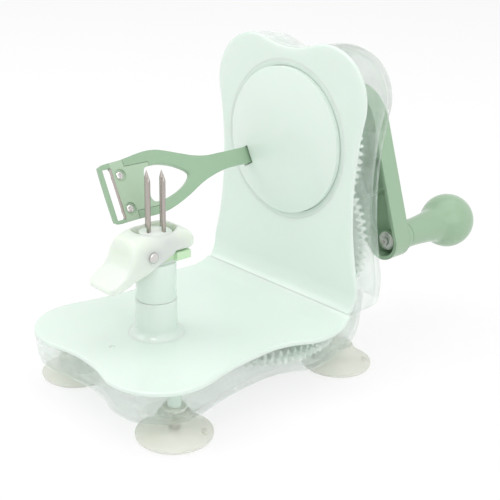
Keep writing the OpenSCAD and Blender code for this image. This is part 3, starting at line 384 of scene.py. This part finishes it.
# open outline of the upright from the foot at +X over the ears to the foot at -X, ending at height low
def panelOutline(inset, low):
    end = math.asin((low - panel["footZ"]) / (footR - inset))
    arcs = [
        (0, dipC, dipR, 1, -90, dipA, 14),
        (panel["earX"], panel["earZ"], panel["earR"], -1, dipA + 180, neckA, 64),
        (neckC, panel["neckZ"], neckR, 1, neckA + 180, footA + 360, 40),
        (footC, panel["footZ"], footR, -1, footA + 180, math.degrees(end), 24),
    ]
    half = np.concatenate([arcPoints(arcs, inset), [[footC + (footR - inset) * math.cos(end), low]]])
    return np.concatenate([half[::-1], half[1:] * [-1, 1]])


# the bend's outer face, and the mitre where the two shells meet on it
outBend = housing["bend"] + housing["plate"]
mitreY = bendY + outBend * math.cos(math.pi / 4)
mitreZ = housing["bend"] - outBend * math.sin(math.pi / 4)


# height of the tray's lower face over y
def under(y):
    curve = housing["bend"] - np.sqrt(np.maximum(outBend ** 2 - (y - bendY) ** 2, 0))
    return np.where(y < bendY, -housing["plate"], np.where(y > mitreY, mitreZ, curve))


# place of the panel's back over z
def back(z):
    curve = bendY + np.sqrt(np.maximum(outBend ** 2 - (housing["bend"] - z) ** 2, 0))
    return np.where(z > housing["bend"], housing["panelY"] + housing["plate"], curve)


# clear base shell: a drafted wall, then a quarter of |x|^p + |y|^p = 1 down to the floor, which closes in rings
baseShell = {
    "straight": 12.0, "draft": 1.0, "depth": 24.0, "inset": 9.8, "power": 2.1, "wallRows": 6, "bendRows": 18,
    "middle": (0.0, 42.0), "rings": (0.85, 0.65, 0.45, 0.25), "footHole": 5.0,
    "body": "housing", "slot": "clear_plastic", "stands": ["base_shell"],
}


# (depth, inset) along that quarter
def roundedProfile(shell):
    t = np.linspace(0, np.pi / 2, shell["bendRows"])
    share = 2 / shell["power"]
    depth = shell["straight"] + (shell["depth"] - shell["straight"]) * np.sin(t) ** share
    inset = shell["draft"] + (shell["inset"] - shell["draft"]) * (1 - np.maximum(np.cos(t), 0) ** share)
    return np.stack([depth, inset], axis=1)


# points of the skin that lies "wall" inside the outer one, with its rows and columns
def baseSkin(wall):
    rows = []
    for u in np.linspace(0, 1, baseShell["wallRows"], endpoint=False):
        plan = baseOutline(wall + u * baseShell["draft"])
        rows.append(np.column_stack([plan, (1 - u) * under(plan[:, 1]) + u * (wall - baseShell["straight"])]))
    for depth, inset in roundedProfile(baseShell):
        plan = baseOutline(wall + inset)
        rows.append(np.column_stack([plan, np.full(len(plan), wall - depth)]))
    middle = np.array([*baseShell["middle"], wall - baseShell["depth"]])
    rows += [middle + (rows[-1] - middle) * f for f in baseShell["rings"]]
    return np.vstack([*rows, middle]), len(rows), len(rows[0])


baseOuter, baseRows, baseCols = baseSkin(0.0)
basePole = baseRows * baseCols
baseFaces = np.concatenate([gridFaces(baseRows, baseCols, True),
                            fanFaces(np.arange(basePole - baseCols, basePole), basePole)])
basePiece = walledObject("baseShell", baseOuter, baseSkin(housing["wall"])[0], baseFaces)
carve(basePiece, [
    rodTool((x, y, -baseShell["depth"] - 2), toTop, baseShell["footHole"], 6) for x, y in housing["feet"]
])
finishPiece(basePiece, baseShell)

# clear rear shell: the same kind of wall behind the panel, open along its foot; holes are (height, radius)
rearShell = {
    "straight": 12.0, "draft": 0.5, "depth": 34.5, "inset": 12.5, "power": 2.25, "wallRows": 6, "bendRows": 18,
    "middle": (0.0, 92.0), "rings": (0.8, 0.6, 0.4, 0.2), "footSteps": 24,
    "holes": ((housing["discZ"], 8.0), (37.6, 6.0)), "holeFrom": 126.0,
    "body": "housing", "slot": "clear_plastic", "stands": ["rear_shell"],
}


def rearSkin(wall):
    rows = []
    for u in np.linspace(0, 1, rearShell["wallRows"], endpoint=False):
        face = panelOutline(wall + u * rearShell["draft"], mitreZ)
        y = (1 - u) * back(face[:, 1]) + u * (housing["panelY"] + rearShell["straight"] - wall)
        rows.append(np.column_stack([face[:, 0], y, face[:, 1]]))
    for depth, inset in roundedProfile(rearShell):
        face = panelOutline(wall + inset, mitreZ)
        y = np.full(len(face), housing["panelY"] + depth - wall)
        rows.append(np.column_stack([face[:, 0], y, face[:, 1]]))
    edge = np.linspace(rows[-1][-1], rows[-1][0], rearShell["footSteps"] + 2)[1:-1]
    middle = np.array([rearShell["middle"][0], housing["panelY"] + rearShell["depth"] - wall,
                       rearShell["middle"][1]])
    ring = np.vstack([rows[-1], edge])
    rings = [middle + (ring - middle) * f for f in rearShell["rings"]]
    return np.vstack([*rows, edge, *rings, middle]), len(rows), len(rows[0])


rearOuter, rearRows, rearCols = rearSkin(0.0)
rearPole = len(rearOuter) - 1
rearRings = np.arange((rearRows - 1) * rearCols, rearPole).reshape(-1, rearCols + rearShell["footSteps"])
rearPlate = rearRings.ravel()[gridFaces(*rearRings.shape, True)]
rearFaces = np.concatenate([gridFaces(rearRows, rearCols), rearPlate, fanFaces(rearRings[-1], rearPole)])
rearPiece = walledObject("rearShell", rearOuter, rearSkin(housing["wall"])[0], rearFaces)
carve(rearPiece, [rodTool((0, rearShell["holeFrom"], z), toRear, radius, 14) for z, radius in rearShell["holes"]])
finishPiece(rearPiece, rearShell)


# tray and panel are one bent plate: s runs along its face, with 0 where the tray begins to rise, and h is the
# depth below the face
def bentPlate(x, s, h):
    t = np.clip(s / housing["bend"], 0, np.pi / 2)
    rise = np.maximum(s - housing["bend"] * np.pi / 2, 0)
    y = bendY + np.minimum(s, 0) + housing["bend"] * np.sin(t) + h * np.sin(t)
    z = housing["bend"] * (1 - np.cos(t)) + rise - h * np.cos(t)
    return np.stack([x, y, z], axis=-1)


# plate as rings around "middle": from a round hole over the face to the rim, round the rim's two quarter
# ellipses, "edge" wide and "deep" in front and smaller behind, and over the back to the hole again;
# outline(inset) is the plate's line (x, s)
def roundedPlate(name, outline, middle, look):
    edge, thick = look["edge"], housing["plate"]
    behind = np.array([0.1, -0.4])
    t = np.linspace(0, np.pi / 2, 9)
    front = np.column_stack([edge * (1 - np.sin(t)), look["deep"] * (1 - np.cos(t))])
    rim = np.concatenate([front, (front * behind + [0, thick])[::-1]])
    flat = outline(edge)
    away = flat - middle
    hole = middle + look["hole"] * away / np.linalg.norm(away, axis=1)[:, None]
    inward = np.linspace(1, 0, look["rings"], endpoint=False)[:, None, None]
    face = flat + (hole - flat) * inward
    lines = np.concatenate([face, [outline(inset) for inset in rim[:, 0]], face[::-1]])
    depth = np.concatenate([np.zeros(len(face)), rim[:, 1], np.full(len(face), thick)])[:, None]
    points = bentPlate(lines[..., 0], lines[..., 1], depth)
    return meshObject(name, points.reshape(-1, 3), gridFaces(len(lines), len(flat), True, True).tolist())


# the seam lies in the middle of the bend; the tray's line has the base's points up to sideCount, then the seam
seamAngle, seamGap = math.pi / 4, 0.0005
seamY = bendY + housing["bend"] * math.sin(seamAngle - seamGap)
rightLine = np.split(baseOutline(0.0), 2)[0]
sideCount = int(np.sum(rightLine[:, 1] < seamY - 1.5))
nearSeam = slice(sideCount - 30, sideCount + 30)


def trayLine(inset):
    right = np.split(baseOutline(inset), 2)[0]
    edgeX = np.interp(seamY, right[nearSeam, 1], right[nearSeam, 0])
    seam = np.column_stack([np.linspace(edgeX, 0, tray["seamSteps"]),
                            np.full(tray["seamSteps"], seamY - tray["seamLean"] * inset)])
    half = np.concatenate([right[:sideCount], seam])
    line = np.concatenate([half, half[-2:0:-1] * [-1, 1]])
    rise = np.clip((line[:, 1] - bendY) / housing["bend"], 0, 1)
    along = np.where(line[:, 1] > bendY, housing["bend"] * np.arcsin(rise), line[:, 1] - bendY)
    return np.column_stack([line[:, 0], along])


trayPiece = roundedPlate("trayPlate", trayLine, np.array([0.0, -bendY]), tray)
carve(trayPiece, [rodTool((0, tray["dimpleY"], -tray["dimple"]), toTop, tray["dimpleR"], 6, 32)])
finishPiece(trayPiece, tray)

# screw pillars below the tray, over the front feet
pillar = {
    "profile": [(1.5, -19.6), (3.7, -19.6), (4.0, -19.3), (4.0, -6.6), (4.4, -4.6), (6.0, -2.7), (1.5, -2.7),
                (1.5, -19.6)],
    "body": "housing", "slot": "mint_plastic", "stands": ["tray"],
}
for name, (x, y) in zip(("pillarRight", "pillarLeft"), housing["feet"]):
    finishPiece(turned(name, pillar["profile"], (x, y, 0), toTop, 48), pillar)

# panel: its outline from the seam up, flat above the bend
panelLow = housing["bend"] * (seamAngle + seamGap)
panelLowZ = housing["bend"] * (1 - math.cos(seamAngle + seamGap))
unrolled = housing["bend"] * (math.pi / 2 - 1)


def panelLine(inset):
    side = panelOutline(panel["sharp"] * inset / panel["edge"], panelLowZ)
    above = np.clip((side[:, 1:] - panel["softLow"]) / panel["softRise"], 0, 1)
    widen = above ** 2 * (3 - 2 * above)  # the rim widens above the bend
    side = side + (panelOutline(inset, panelLowZ) - side) * widen
    curved = np.clip(1 - side[:, 1] / housing["bend"], -1, 1)
    along = np.where(side[:, 1] < housing["bend"], housing["bend"] * np.arccos(curved), side[:, 1] + unrolled)
    low = panelLow + panel["seamLean"] * inset
    seamX = np.linspace(side[-1, 0], side[0, 0], panel["seamSteps"] + 2)[1:-1]
    seam = np.column_stack([seamX, np.full(len(seamX), low)])
    return np.concatenate([np.column_stack([side[:, 0], np.maximum(along, low)]), seam])


panelPiece = roundedPlate("panelPlate", panelLine, np.array([0.0, housing["discZ"] + unrolled]), panel)
finishPiece(panelPiece, panel)

# ring around the disc: sinks softly from the panel's face, y = deep * (1 - cos(pi u)) / 2 towards the disc
discRing = {
    "inside": 46.15, "outside": 49.9, "deep": 0.9, "back": 7.2,
    "body": "housing", "slot": "mint_plastic", "stands": ["disc_ring"],
}
ringShare = np.linspace(0, 1, 16)
ringFront = np.column_stack([discRing["outside"] + (discRing["inside"] - discRing["outside"]) * ringShare,
                             discRing["deep"] * (1 - np.cos(np.pi * ringShare)) / 2]).tolist()
ringBack = [(discRing["inside"], discRing["back"]), (discRing["outside"], discRing["back"])]
ringPiece = turned("discRing", ringFront + ringBack + ringFront[:1], (0, housing["panelY"], housing["discZ"]),
                   toRear, 192)
finishPiece(ringPiece, discRing)

# spindle's fixed post: flows into the tray through a quarter circle and ends in a small lip at the seam; lip
# points are (inwards, down from the seam)
spindlePost = {
    "radius": 12.3, "flow": 5.0, "sink": 0.03, "plug": 15.3, "plugTop": -0.5, "bore": 7.5, "seam": 22.15,
    "lip": [(0, 0.25), (0.05, 0.07), (0.2, 0)],
    "body": "housing", "slot": "mint_plastic", "stands": ["spindle_post"],
}
flowTurn = np.linspace(0, np.pi / 2, 16)
postFlow = np.column_stack([
    spindlePost["radius"] + spindlePost["flow"] * (1 - np.sin(flowTurn)),
    spindlePost["flow"] * (1 - np.cos(flowTurn)) - spindlePost["sink"],
])
postLow, postBore = -housing["plate"], spindlePost["bore"]
postLip = [(spindlePost["radius"] - r, spindlePost["seam"] - z) for r, z in spindlePost["lip"]]
postProfile = np.concatenate([
    [(postBore, postLow), (spindlePost["plug"], postLow), (spindlePost["plug"], spindlePost["plugTop"])],
    postFlow, postLip, [(postBore, spindlePost["seam"]), (postBore, postLow)],
])
finishPiece(turned("spindlePost", postProfile, (0, 0, 0), toTop, 128), spindlePost)

# spindle's turning sleeve above the seam, with its shaft below and two flats at the top for the lever
spindleSleeve = {
    "radius": 11.9, "shaft": 5.0, "shaftLow": -20.4, "low": 22.3, "top": 47.0, "flat": 9.6, "flatLow": 45.5,
    "lip": [(0.25, 0), (0.07, 0.07), (0, 0.25)], "brim": [(0, 0.4), (0.2, 0.1), (0.6, 0)],
    "body": "spindle", "slot": "mint_plastic", "stands": ["spindle_sleeve"],
}
sleeveProfile = [
    (0, spindleSleeve["shaftLow"]), (spindleSleeve["shaft"], spindleSleeve["shaftLow"]),
    (spindleSleeve["shaft"], spindleSleeve["low"]),
    *((spindleSleeve["radius"] - r, spindleSleeve["low"] + z) for r, z in spindleSleeve["lip"]),
    *((spindleSleeve["radius"] - r, spindleSleeve["top"] - z) for r, z in spindleSleeve["brim"]),
    (0, spindleSleeve["top"]),
]
sleevePiece = turned("spindleSleeve", sleeveProfile, (0, 0, 0), toTop, 128)
flatLine = np.array([(spindleSleeve["flat"], -20), (20, -20), (20, 20), (spindleSleeve["flat"], 20)])
carve(sleevePiece, [
    prismTool(flatLine * [side, 1], (0, 0, spindleSleeve["flatLow"]), upwards, 10) for side in (1, -1)
])
finishPiece(sleevePiece, spindleSleeve)

# ejector lever: sections |x/w|^p + |z/h|^p = 1 along Y between the lines "top" and "low" of (y, z), with p from
# "round" above and 9 below; its corners are round in plan, it is hollow below and the fork stands in its hole
lever = {
    "wide": 12.4, "inside": 10.0, "tipRound": 5.5, "tailRound": 4.0, "rows": 150, "around": 128,
    "round": ((-36, -30, -23, -8), (4.5, 3.4, 2.6, 4.5)), "square": 9,
    "top": [(-39.8, 38.8), (-39.3, 39.8), (-38.3, 40.9), (-35, 43.4), (-31, 46.5), (-28, 49.4), (-25.5, 54.2),
            (-24.5, 57.6), (-23.5, 60.6), (-22.6, 62.4), (-21.5, 63.6), (-18, 64.8), (-13, 65.5), (-5, 65.8),
            (2, 65.8), (9, 65.7), (13, 65), (15.6, 63.6), (17.6, 61.6), (19.2, 59), (20, 57)],
    "low": [(-39.8, 37.6), (-39.3, 37), (-38.3, 36.7), (-35, 37), (-29.4, 38.2), (-21.5, 40.6), (-13, 43),
            (-8, 45.3), (-5, 46.8), (0, 48.8), (4.2, 50.7), (5.6, 52.3), (10, 52.4), (15.6, 52.6), (17.6, 53.2),
            (19.2, 54.3), (20, 56)],
    "under": [(-37, 20), (-37, 38.9), (-31, 43.4), (-26, 47.6), (-17.6, 54), (-17.6, 20)],
    "pocket": (-17.7, 13.0), "pocketLow": 20.0, "pocketTop": 57.6,
    "hole": 10.9, "holeLow": 57.2, "fore": 3.7, "slack": 1.6, "pinY": -11.0, "pinZ": 53.0, "pinR": 2.25,
    "body": "lever", "slot": "ivory_plastic", "stands": ["eject_lever"],
}
leverTip, leverTail = lever["top"][0][0], lever["top"][-1][0]
leverTop, leverLow = (curveThrough(lever[k], 12) for k in ("top", "low"))
leverSpan = np.cos(np.linspace(0, np.pi, lever["rows"]))
leverY = (leverTip + leverTail) / 2 - (leverTail - leverTip) / 2 * leverSpan
leverHigh, leverDeep = (np.interp(leverY, line[:, 0], line[:, 1]) for line in (leverTop, leverLow))
tipShort = np.maximum(leverTip + lever["tipRound"] - leverY, 0)
tailShort = np.maximum(leverY - leverTail + lever["tailRound"], 0)
leverHalf = (lever["wide"] - lever["tipRound"] + np.sqrt(np.maximum(lever["tipRound"] ** 2 - tipShort ** 2, 0))
             - lever["tailRound"] + np.sqrt(np.maximum(lever["tailRound"] ** 2 - tailShort ** 2, 0)))
leverTurn = np.linspace(0, 2 * np.pi, lever["around"], endpoint=False)
crownPower = np.interp(leverY, *lever["round"])[:, None]
leverBulge = np.where(np.sin(leverTurn) > 0, 2 / crownPower, 2 / lever["square"])
leverAcross = np.sign(np.cos(leverTurn)) * np.abs(np.cos(leverTurn)) ** leverBulge
leverUp = np.sign(np.sin(leverTurn)) * np.abs(np.sin(leverTurn)) ** leverBulge
leverSides = np.stack([
    leverHalf[:, None] * leverAcross,
    np.repeat(leverY[:, None], lever["around"], axis=1),
    (leverHigh + leverDeep)[:, None] / 2 + (leverHigh - leverDeep)[:, None] / 2 * leverUp,
], axis=-1)
endShares = np.array([0, 0.35, 0.7])[:, None, None]  # rings that close the flat ends
tipMiddle, tailMiddle = leverSides[[0, -1]].mean(axis=1)
leverLoft = np.concatenate([
    tipMiddle + (leverSides[0] - tipMiddle) * endShares, leverSides,
    tailMiddle + (leverSides[-1] - tailMiddle) * endShares[::-1],
])
leverFaces = gridFaces(len(leverLoft), lever["around"], True).tolist()
leverPiece = meshObject("ejectLever", leverLoft.reshape(-1, 3), leverFaces)
holeLine = lever["hole"] * np.column_stack([np.cos(leverTurn), np.sin(leverTurn)])
holeLine[:, 1] += np.where(np.sin(leverTurn) > 0, lever["slack"], -lever["fore"])
leverIn, (pocketFore, pocketRear) = lever["inside"], lever["pocket"]
pocketLine = [(-leverIn, pocketFore), (leverIn, pocketFore), (leverIn, pocketRear), (-leverIn, pocketRear)]
carve(leverPiece, [
    prismTool(lever["under"], (-leverIn, 0, 0), sideways, 2 * leverIn),
    prismTool(pocketLine, (0, 0, lever["pocketLow"]), upwards, lever["pocketTop"] - lever["pocketLow"]),
    prismTool(holeLine, (0, 0, lever["holeLow"]), upwards, 20),
    rodTool((-20, lever["pinY"], lever["pinZ"]), toRight, lever["pinR"], 40, 48),
])
finishPiece(leverPiece, lever)

# ball knob: its stem and ball flow together, r = k log(exp(stem / k) + exp(ball / k)); head points are
# (radius, past the ball's middle) of the space for the bolt's head
knob = {
    "at": (41.799, 167.9, 32.389), "ballR": 18.5, "ballY": 55.6, "ballFrom": 14.0, "blend": 1.4,
    "stemR": 9.0, "stemLow": 7.8, "stemEnd": 46.0, "flare": 2.73, "flareRun": 33.5, "bore": 3.05,
    "collar": [(8.8, 0), (9.3, 0.2), (9.6, 0.7), (9.6, 6.3), (9.35, 6.8), (8.9, 7.0), (8.6, 7.1), (8.6, 7.7)],
    "head": [(0, 6.4), (5.5, 4.8), (5.5, 1.6), (3.05, 1.6)],
    "body": "knob", "slot": "sage_plastic", "stands": ["knob"],
}
ballPart = knob["ballY"] - knob["ballR"] * np.cos(np.linspace(math.radians(knob["ballFrom"]), np.pi, 70))
knobY = np.concatenate([np.linspace(knob["stemLow"], ballPart[0], 30, endpoint=False), ballPart])
ball = np.sqrt(np.maximum(knob["ballR"] ** 2 - (knobY - knob["ballY"]) ** 2, 0))
flared = knob["stemR"] + knob["flare"] * ((knobY - knob["stemLow"]) / knob["flareRun"]) ** 2
stem = np.where(knobY < knob["stemEnd"], flared, 0)
joined = knob["blend"] * np.logaddexp(stem / knob["blend"], ball / knob["blend"])
knobR = np.where(knobY > knob["stemEnd"], ball, joined)
knobProfile = [
    (knob["bore"], 0), *knob["collar"], *zip(knobR, knobY),
    *((r, knob["ballY"] + y) for r, y in knob["head"]), (knob["bore"], 0),
]
finishPiece(turned("ballKnob", knobProfile, knob["at"], toRear, 128), knob)

# screws and rivets: turned heads, with a cross recess cut in where a driver goes; cross is half its length, half
# its width and its depth
arm = {"turn": 208.5, "screwY": -4.4, "screwOut": 28.2, "screwUp": 4.0, "screwDown": 16.0}
armTurn = math.radians(arm["turn"])
armOut = np.array([math.cos(armTurn), 0, math.sin(armTurn)])
armUp = np.array([math.sin(armTurn), 0, -math.cos(armTurn)])
bladeScrewAt = np.array([0, arm["screwY"], housing["discZ"]]) + arm["screwOut"] * armOut
bladeScrew = {
    "along": armOut, "across": (toRear, armUp), "cross": (1.35, 0.32, 0.55),
    "profile": [(0, 0), (1.5, 0.02), (2.05, 0.16), (2.35, 0.42), (2.4, 0.8), (1.5, 0.8), (1.5, 4.3), (1.2, 4.6),
                (0, 4.6)],
    "body": "arm", "slot": "steel",
}
screws = {
    "bladeScrewUpper": dict(bladeScrew, at=bladeScrewAt + arm["screwUp"] * armUp, stands=["blade_screw_upper"]),
    "bladeScrewLower": dict(bladeScrew, at=bladeScrewAt - arm["screwDown"] * armUp, stands=["blade_screw_lower"]),
    "knobBolt": {
        "at": (41.799, 155.5, 32.389), "along": toRear, "across": (toRight, toTop), "cross": (1.8, 0.5, 1.2),
        "profile": [(0, 0), (1.9, 0.03), (2.6, 0.3), (2.9, 0.8), (2.95, 1.3), (3.3, 1.4), (4.8, 1.42), (5.1, 1.6),
                    (5.1, 2), (3, 2), (3, 70), (5.1, 70), (5.1, 71.6), (4.7, 72), (0, 72)],
        "body": "crank", "slot": "steel", "stands": ["knob_bolt"],
    },
    "crankScrew": {
        "at": (0, 169.5, 100.6), "along": (0, -1, 0), "across": (toTop, toRight), "cross": (1.8, 0.4, 1.1),
        "profile": [(0, 0), (1.8, 0.05), (2.7, 0.4), (3.2, 1.0), (3.3, 1.6), (3.3, 2), (1.5, 2), (1.5, 15.2),
                    (1.2, 15.5), (0, 15.5)],
        "body": "crank", "slot": "steel", "stands": ["crank_screw"],
    },
    "leverPin": {
        "at": (-13.8, lever["pinY"], lever["pinZ"]), "along": toRight,
        "profile": [(0, 0), (2.1, 0.02), (2.75, 0.18), (3.05, 0.5), (3.1, 1), (2.2, 1), (2.2, 26.6), (3.1, 26.6),
                    (3.05, 27.1), (2.75, 27.42), (2.1, 27.58), (0, 27.6)],
        "body": "spindle", "slot": "steel", "stands": ["lever_pin"],
    },
}
proud = 0.4  # how far the recess tools stand out of the head
for name, look in screws.items():
    screw = turned(name, look["profile"], look["at"], look["along"], 64)
    if "cross" in look:
        long, thin, deep = look["cross"]
        start = np.asarray(look["at"]) - proud * np.asarray(look["along"])
        carve(screw, [
            prismTool([(-a, -b), (a, -b), (a, b), (-a, b)], start, [*look["across"], look["along"]], deep + proud)
            for a, b in ((long, thin), (thin, long))
        ])
    finishPiece(screw, look)
    screw.data.materials[0] = platedSteel

# suction feet: one bell curve from the neck to the lip, hollow below, with a small pull tab; heights are from the
# table, and only the front ones have a head around their screw
foot = {
    "bell": [(9.6, 14.0), (10.3, 12.6), (11.6, 10.6), (14.2, 7.6), (17.8, 4.9), (20.6, 3.3), (21.8, 2.4),
             (22.0, 1.5), (21.6, 0.5), (20.6, 0.0)],
    "hollow": [(18.4, 0.0), (16.0, 1.6), (12.6, 3.1), (8.5, 4.1), (5.0, 4.5)],
    "screwed": [(1.5, 4.5), (1.5, 18.4), (6.3, 18.4), (6.6, 18.2), (6.6, 16.2)], "plain": [(0, 4.5), (0, 16.2)],
    "neck": [(5.0, 16.2), (5.0, 14.0)],
    "tab": [(0, 0), (2.2, 0), (2.1, 2.6), (1.7, 3.2), (0, 3.3)], "tabOut": 17.6, "tabTurn": 30, "tabLow": 3.0,
    "body": "housing", "slot": "soft_vinyl",
}
tabX, tabY = (foot["tabOut"] * f(math.radians(foot["tabTurn"])) for f in (math.cos, math.sin))
for name, (x, y) in zip(("front_right", "front_left", "rear_right", "rear_left"), housing["feet"]):
    footProfile = np.concatenate([
        curveThrough(foot["bell"], 5), curveThrough(foot["hollow"], 5),
        foot["screwed" if "front" in name else "plain"], foot["neck"], foot["bell"][:1],
    ])
    cup = turned("foot_" + name, footProfile, (x, y, -origin[2]), toTop, 96)
    tabAt = (x + math.copysign(tabX, x), y + tabY, foot["tabLow"] - origin[2])
    carve(cup, [turned("tab_" + name, foot["tab"], tabAt, toTop, 32)], "UNION")
    finishPiece(cup, dict(foot, stands=["cup_" + name]))

# the CAD pieces that keep their shape take their slot's finish
made = [tray, panel, discRing, spindlePost, spindleSleeve, baseShell, rearShell, lever, knob, *screws.values()]
replaced = {name for look in made for name in look["stands"]}
for part in frame["record"]["subparts"]:
    if part["node"] not in replaced and not part["node"].startswith("cup_"):
        nodes[part["node"]].data.materials.clear()
        nodes[part["node"]].data.materials.append(slotLooks[part["material_slot"]])
nodes["blade_holder"].data.materials[0] = paleSageAbs
for name in ("knob_washer", "foot_screw_left", "foot_screw_right"):
    nodes[name].data.materials[0] = platedSteel
print("finished CAD pieces")


# 1 for the rays that look at a thing, straight, mirrored or through clear plastic, and 0 for those that light it
def lookingRays(tree):
    path = addNode(tree, "ShaderNodeLightPath")
    bent = addNode(tree, "ShaderNodeMath", {"operation": "MAXIMUM"},
                   {0: path.outputs["Is Glossy Ray"], 1: path.outputs["Is Transmission Ray"]})
    either = addNode(tree, "ShaderNodeMath", {"operation": "MAXIMUM"},
                     {0: path.outputs["Is Camera Ray"], 1: bent.outputs[0]})
    return either.outputs[0]


# The studio is in metres: white paper that shows its soft shadows faintly, a white sky, lamps and the camera.
floorMesh = bpy.data.meshes.new("floor")
floorMesh.from_pydata([(-6, -6, 0), (6, -6, 0), (6, 6, 0), (-6, 6, 0)], [], [(0, 1, 2, 3)])
floor = addObject("floor", floorMesh)
paper = bpy.data.materials.new("whitePaper")
paper.use_nodes = True
paperTree = paper.node_tree
paperTree.nodes.clear()
share = addNode(paperTree, "ShaderNodeMath", {"operation": "MULTIPLY"}, {0: lookingRays(paperTree)})
share.inputs[1].default_value = 0.75
matt = addNode(paperTree, "ShaderNodeBsdfDiffuse", {"Color": linear("#f6f6f6")})
glow = addNode(paperTree, "ShaderNodeEmission", {"Color": (1, 1, 1, 1), "Strength": 1.02})
mixed = addNode(paperTree, "ShaderNodeMixShader", None,
                {0: share.outputs[0], 1: matt.outputs[0], 2: glow.outputs[0]})
addNode(paperTree, "ShaderNodeOutputMaterial", None, {"Surface": mixed.outputs[0]})
floorMesh.materials.append(paper)

world = bpy.data.worlds.new("studio")
bpy.context.scene.world = world
world.use_nodes = True
skyTree = world.node_tree
skyTree.nodes.clear()
bright = addNode(skyTree, "ShaderNodeMapRange", {"To Min": 0.72, "To Max": 1.0}, {"Value": lookingRays(skyTree)})
sky = addNode(skyTree, "ShaderNodeBackground", {"Color": (1, 1, 1, 1)}, {"Strength": bright.outputs["Result"]})
addNode(skyTree, "ShaderNodeOutputWorld", None, {"Surface": sky.outputs[0]})

lamps = {
    "key": {"at": (-0.9, -1.1, 1.5), "size": 1.4, "power": 10.8},
    "topSoft": {"at": (0.1, 0.1, 1.7), "size": 1.6, "power": 7.2},
    "rightFill": {"at": (1.3, -0.3, 0.8), "size": 1.2, "power": 4.4},
    "glossCard": {"at": (0.29, -0.88, 1.8), "size": 0.5, "power": 9.0},
}
lampAim = Vector((0, -0.03, 0.08))
for name, look in lamps.items():
    lampData = bpy.data.lights.new(name, "AREA")
    lampData.shape, lampData.size, lampData.energy = "SQUARE", look["size"], look["power"]
    lamp = addObject(name, lampData)
    lamp.location = look["at"]
    lamp.rotation_euler = (lampAim - Vector(look["at"])).to_track_quat("-Z", "Y").to_euler()
    lamp.visible_diffuse = name != "glossCard"  # the card gives the soft highlights on knob and flare, no light

view = {"az": 46.727, "el": 20.778, "roll": 1.414, "at": (0.41225, -0.4062, 0.28642), "lens": 69.12}
az, el, roll = (math.radians(view[k]) for k in ("az", "el", "roll"))
backward = Vector((math.sin(az) * math.cos(el), -math.cos(az) * math.cos(el), math.sin(el)))
rightward = Vector((math.cos(az), math.sin(az), 0))
upward = backward.cross(rightward)
cameraAxes = (math.cos(roll) * rightward + math.sin(roll) * upward,
              -math.sin(roll) * rightward + math.cos(roll) * upward, backward)
cameraData = bpy.data.cameras.new("camera")
cameraData.lens, cameraData.sensor_width = view["lens"], 36.0
camera = addObject("camera", cameraData)
camera.matrix_world = Matrix.Translation(view["at"]) @ Matrix(cameraAxes).transposed().to_4x4()
bpy.context.scene.camera = camera
bpy.context.scene.view_settings.view_transform = "Standard"

print("scene ready")
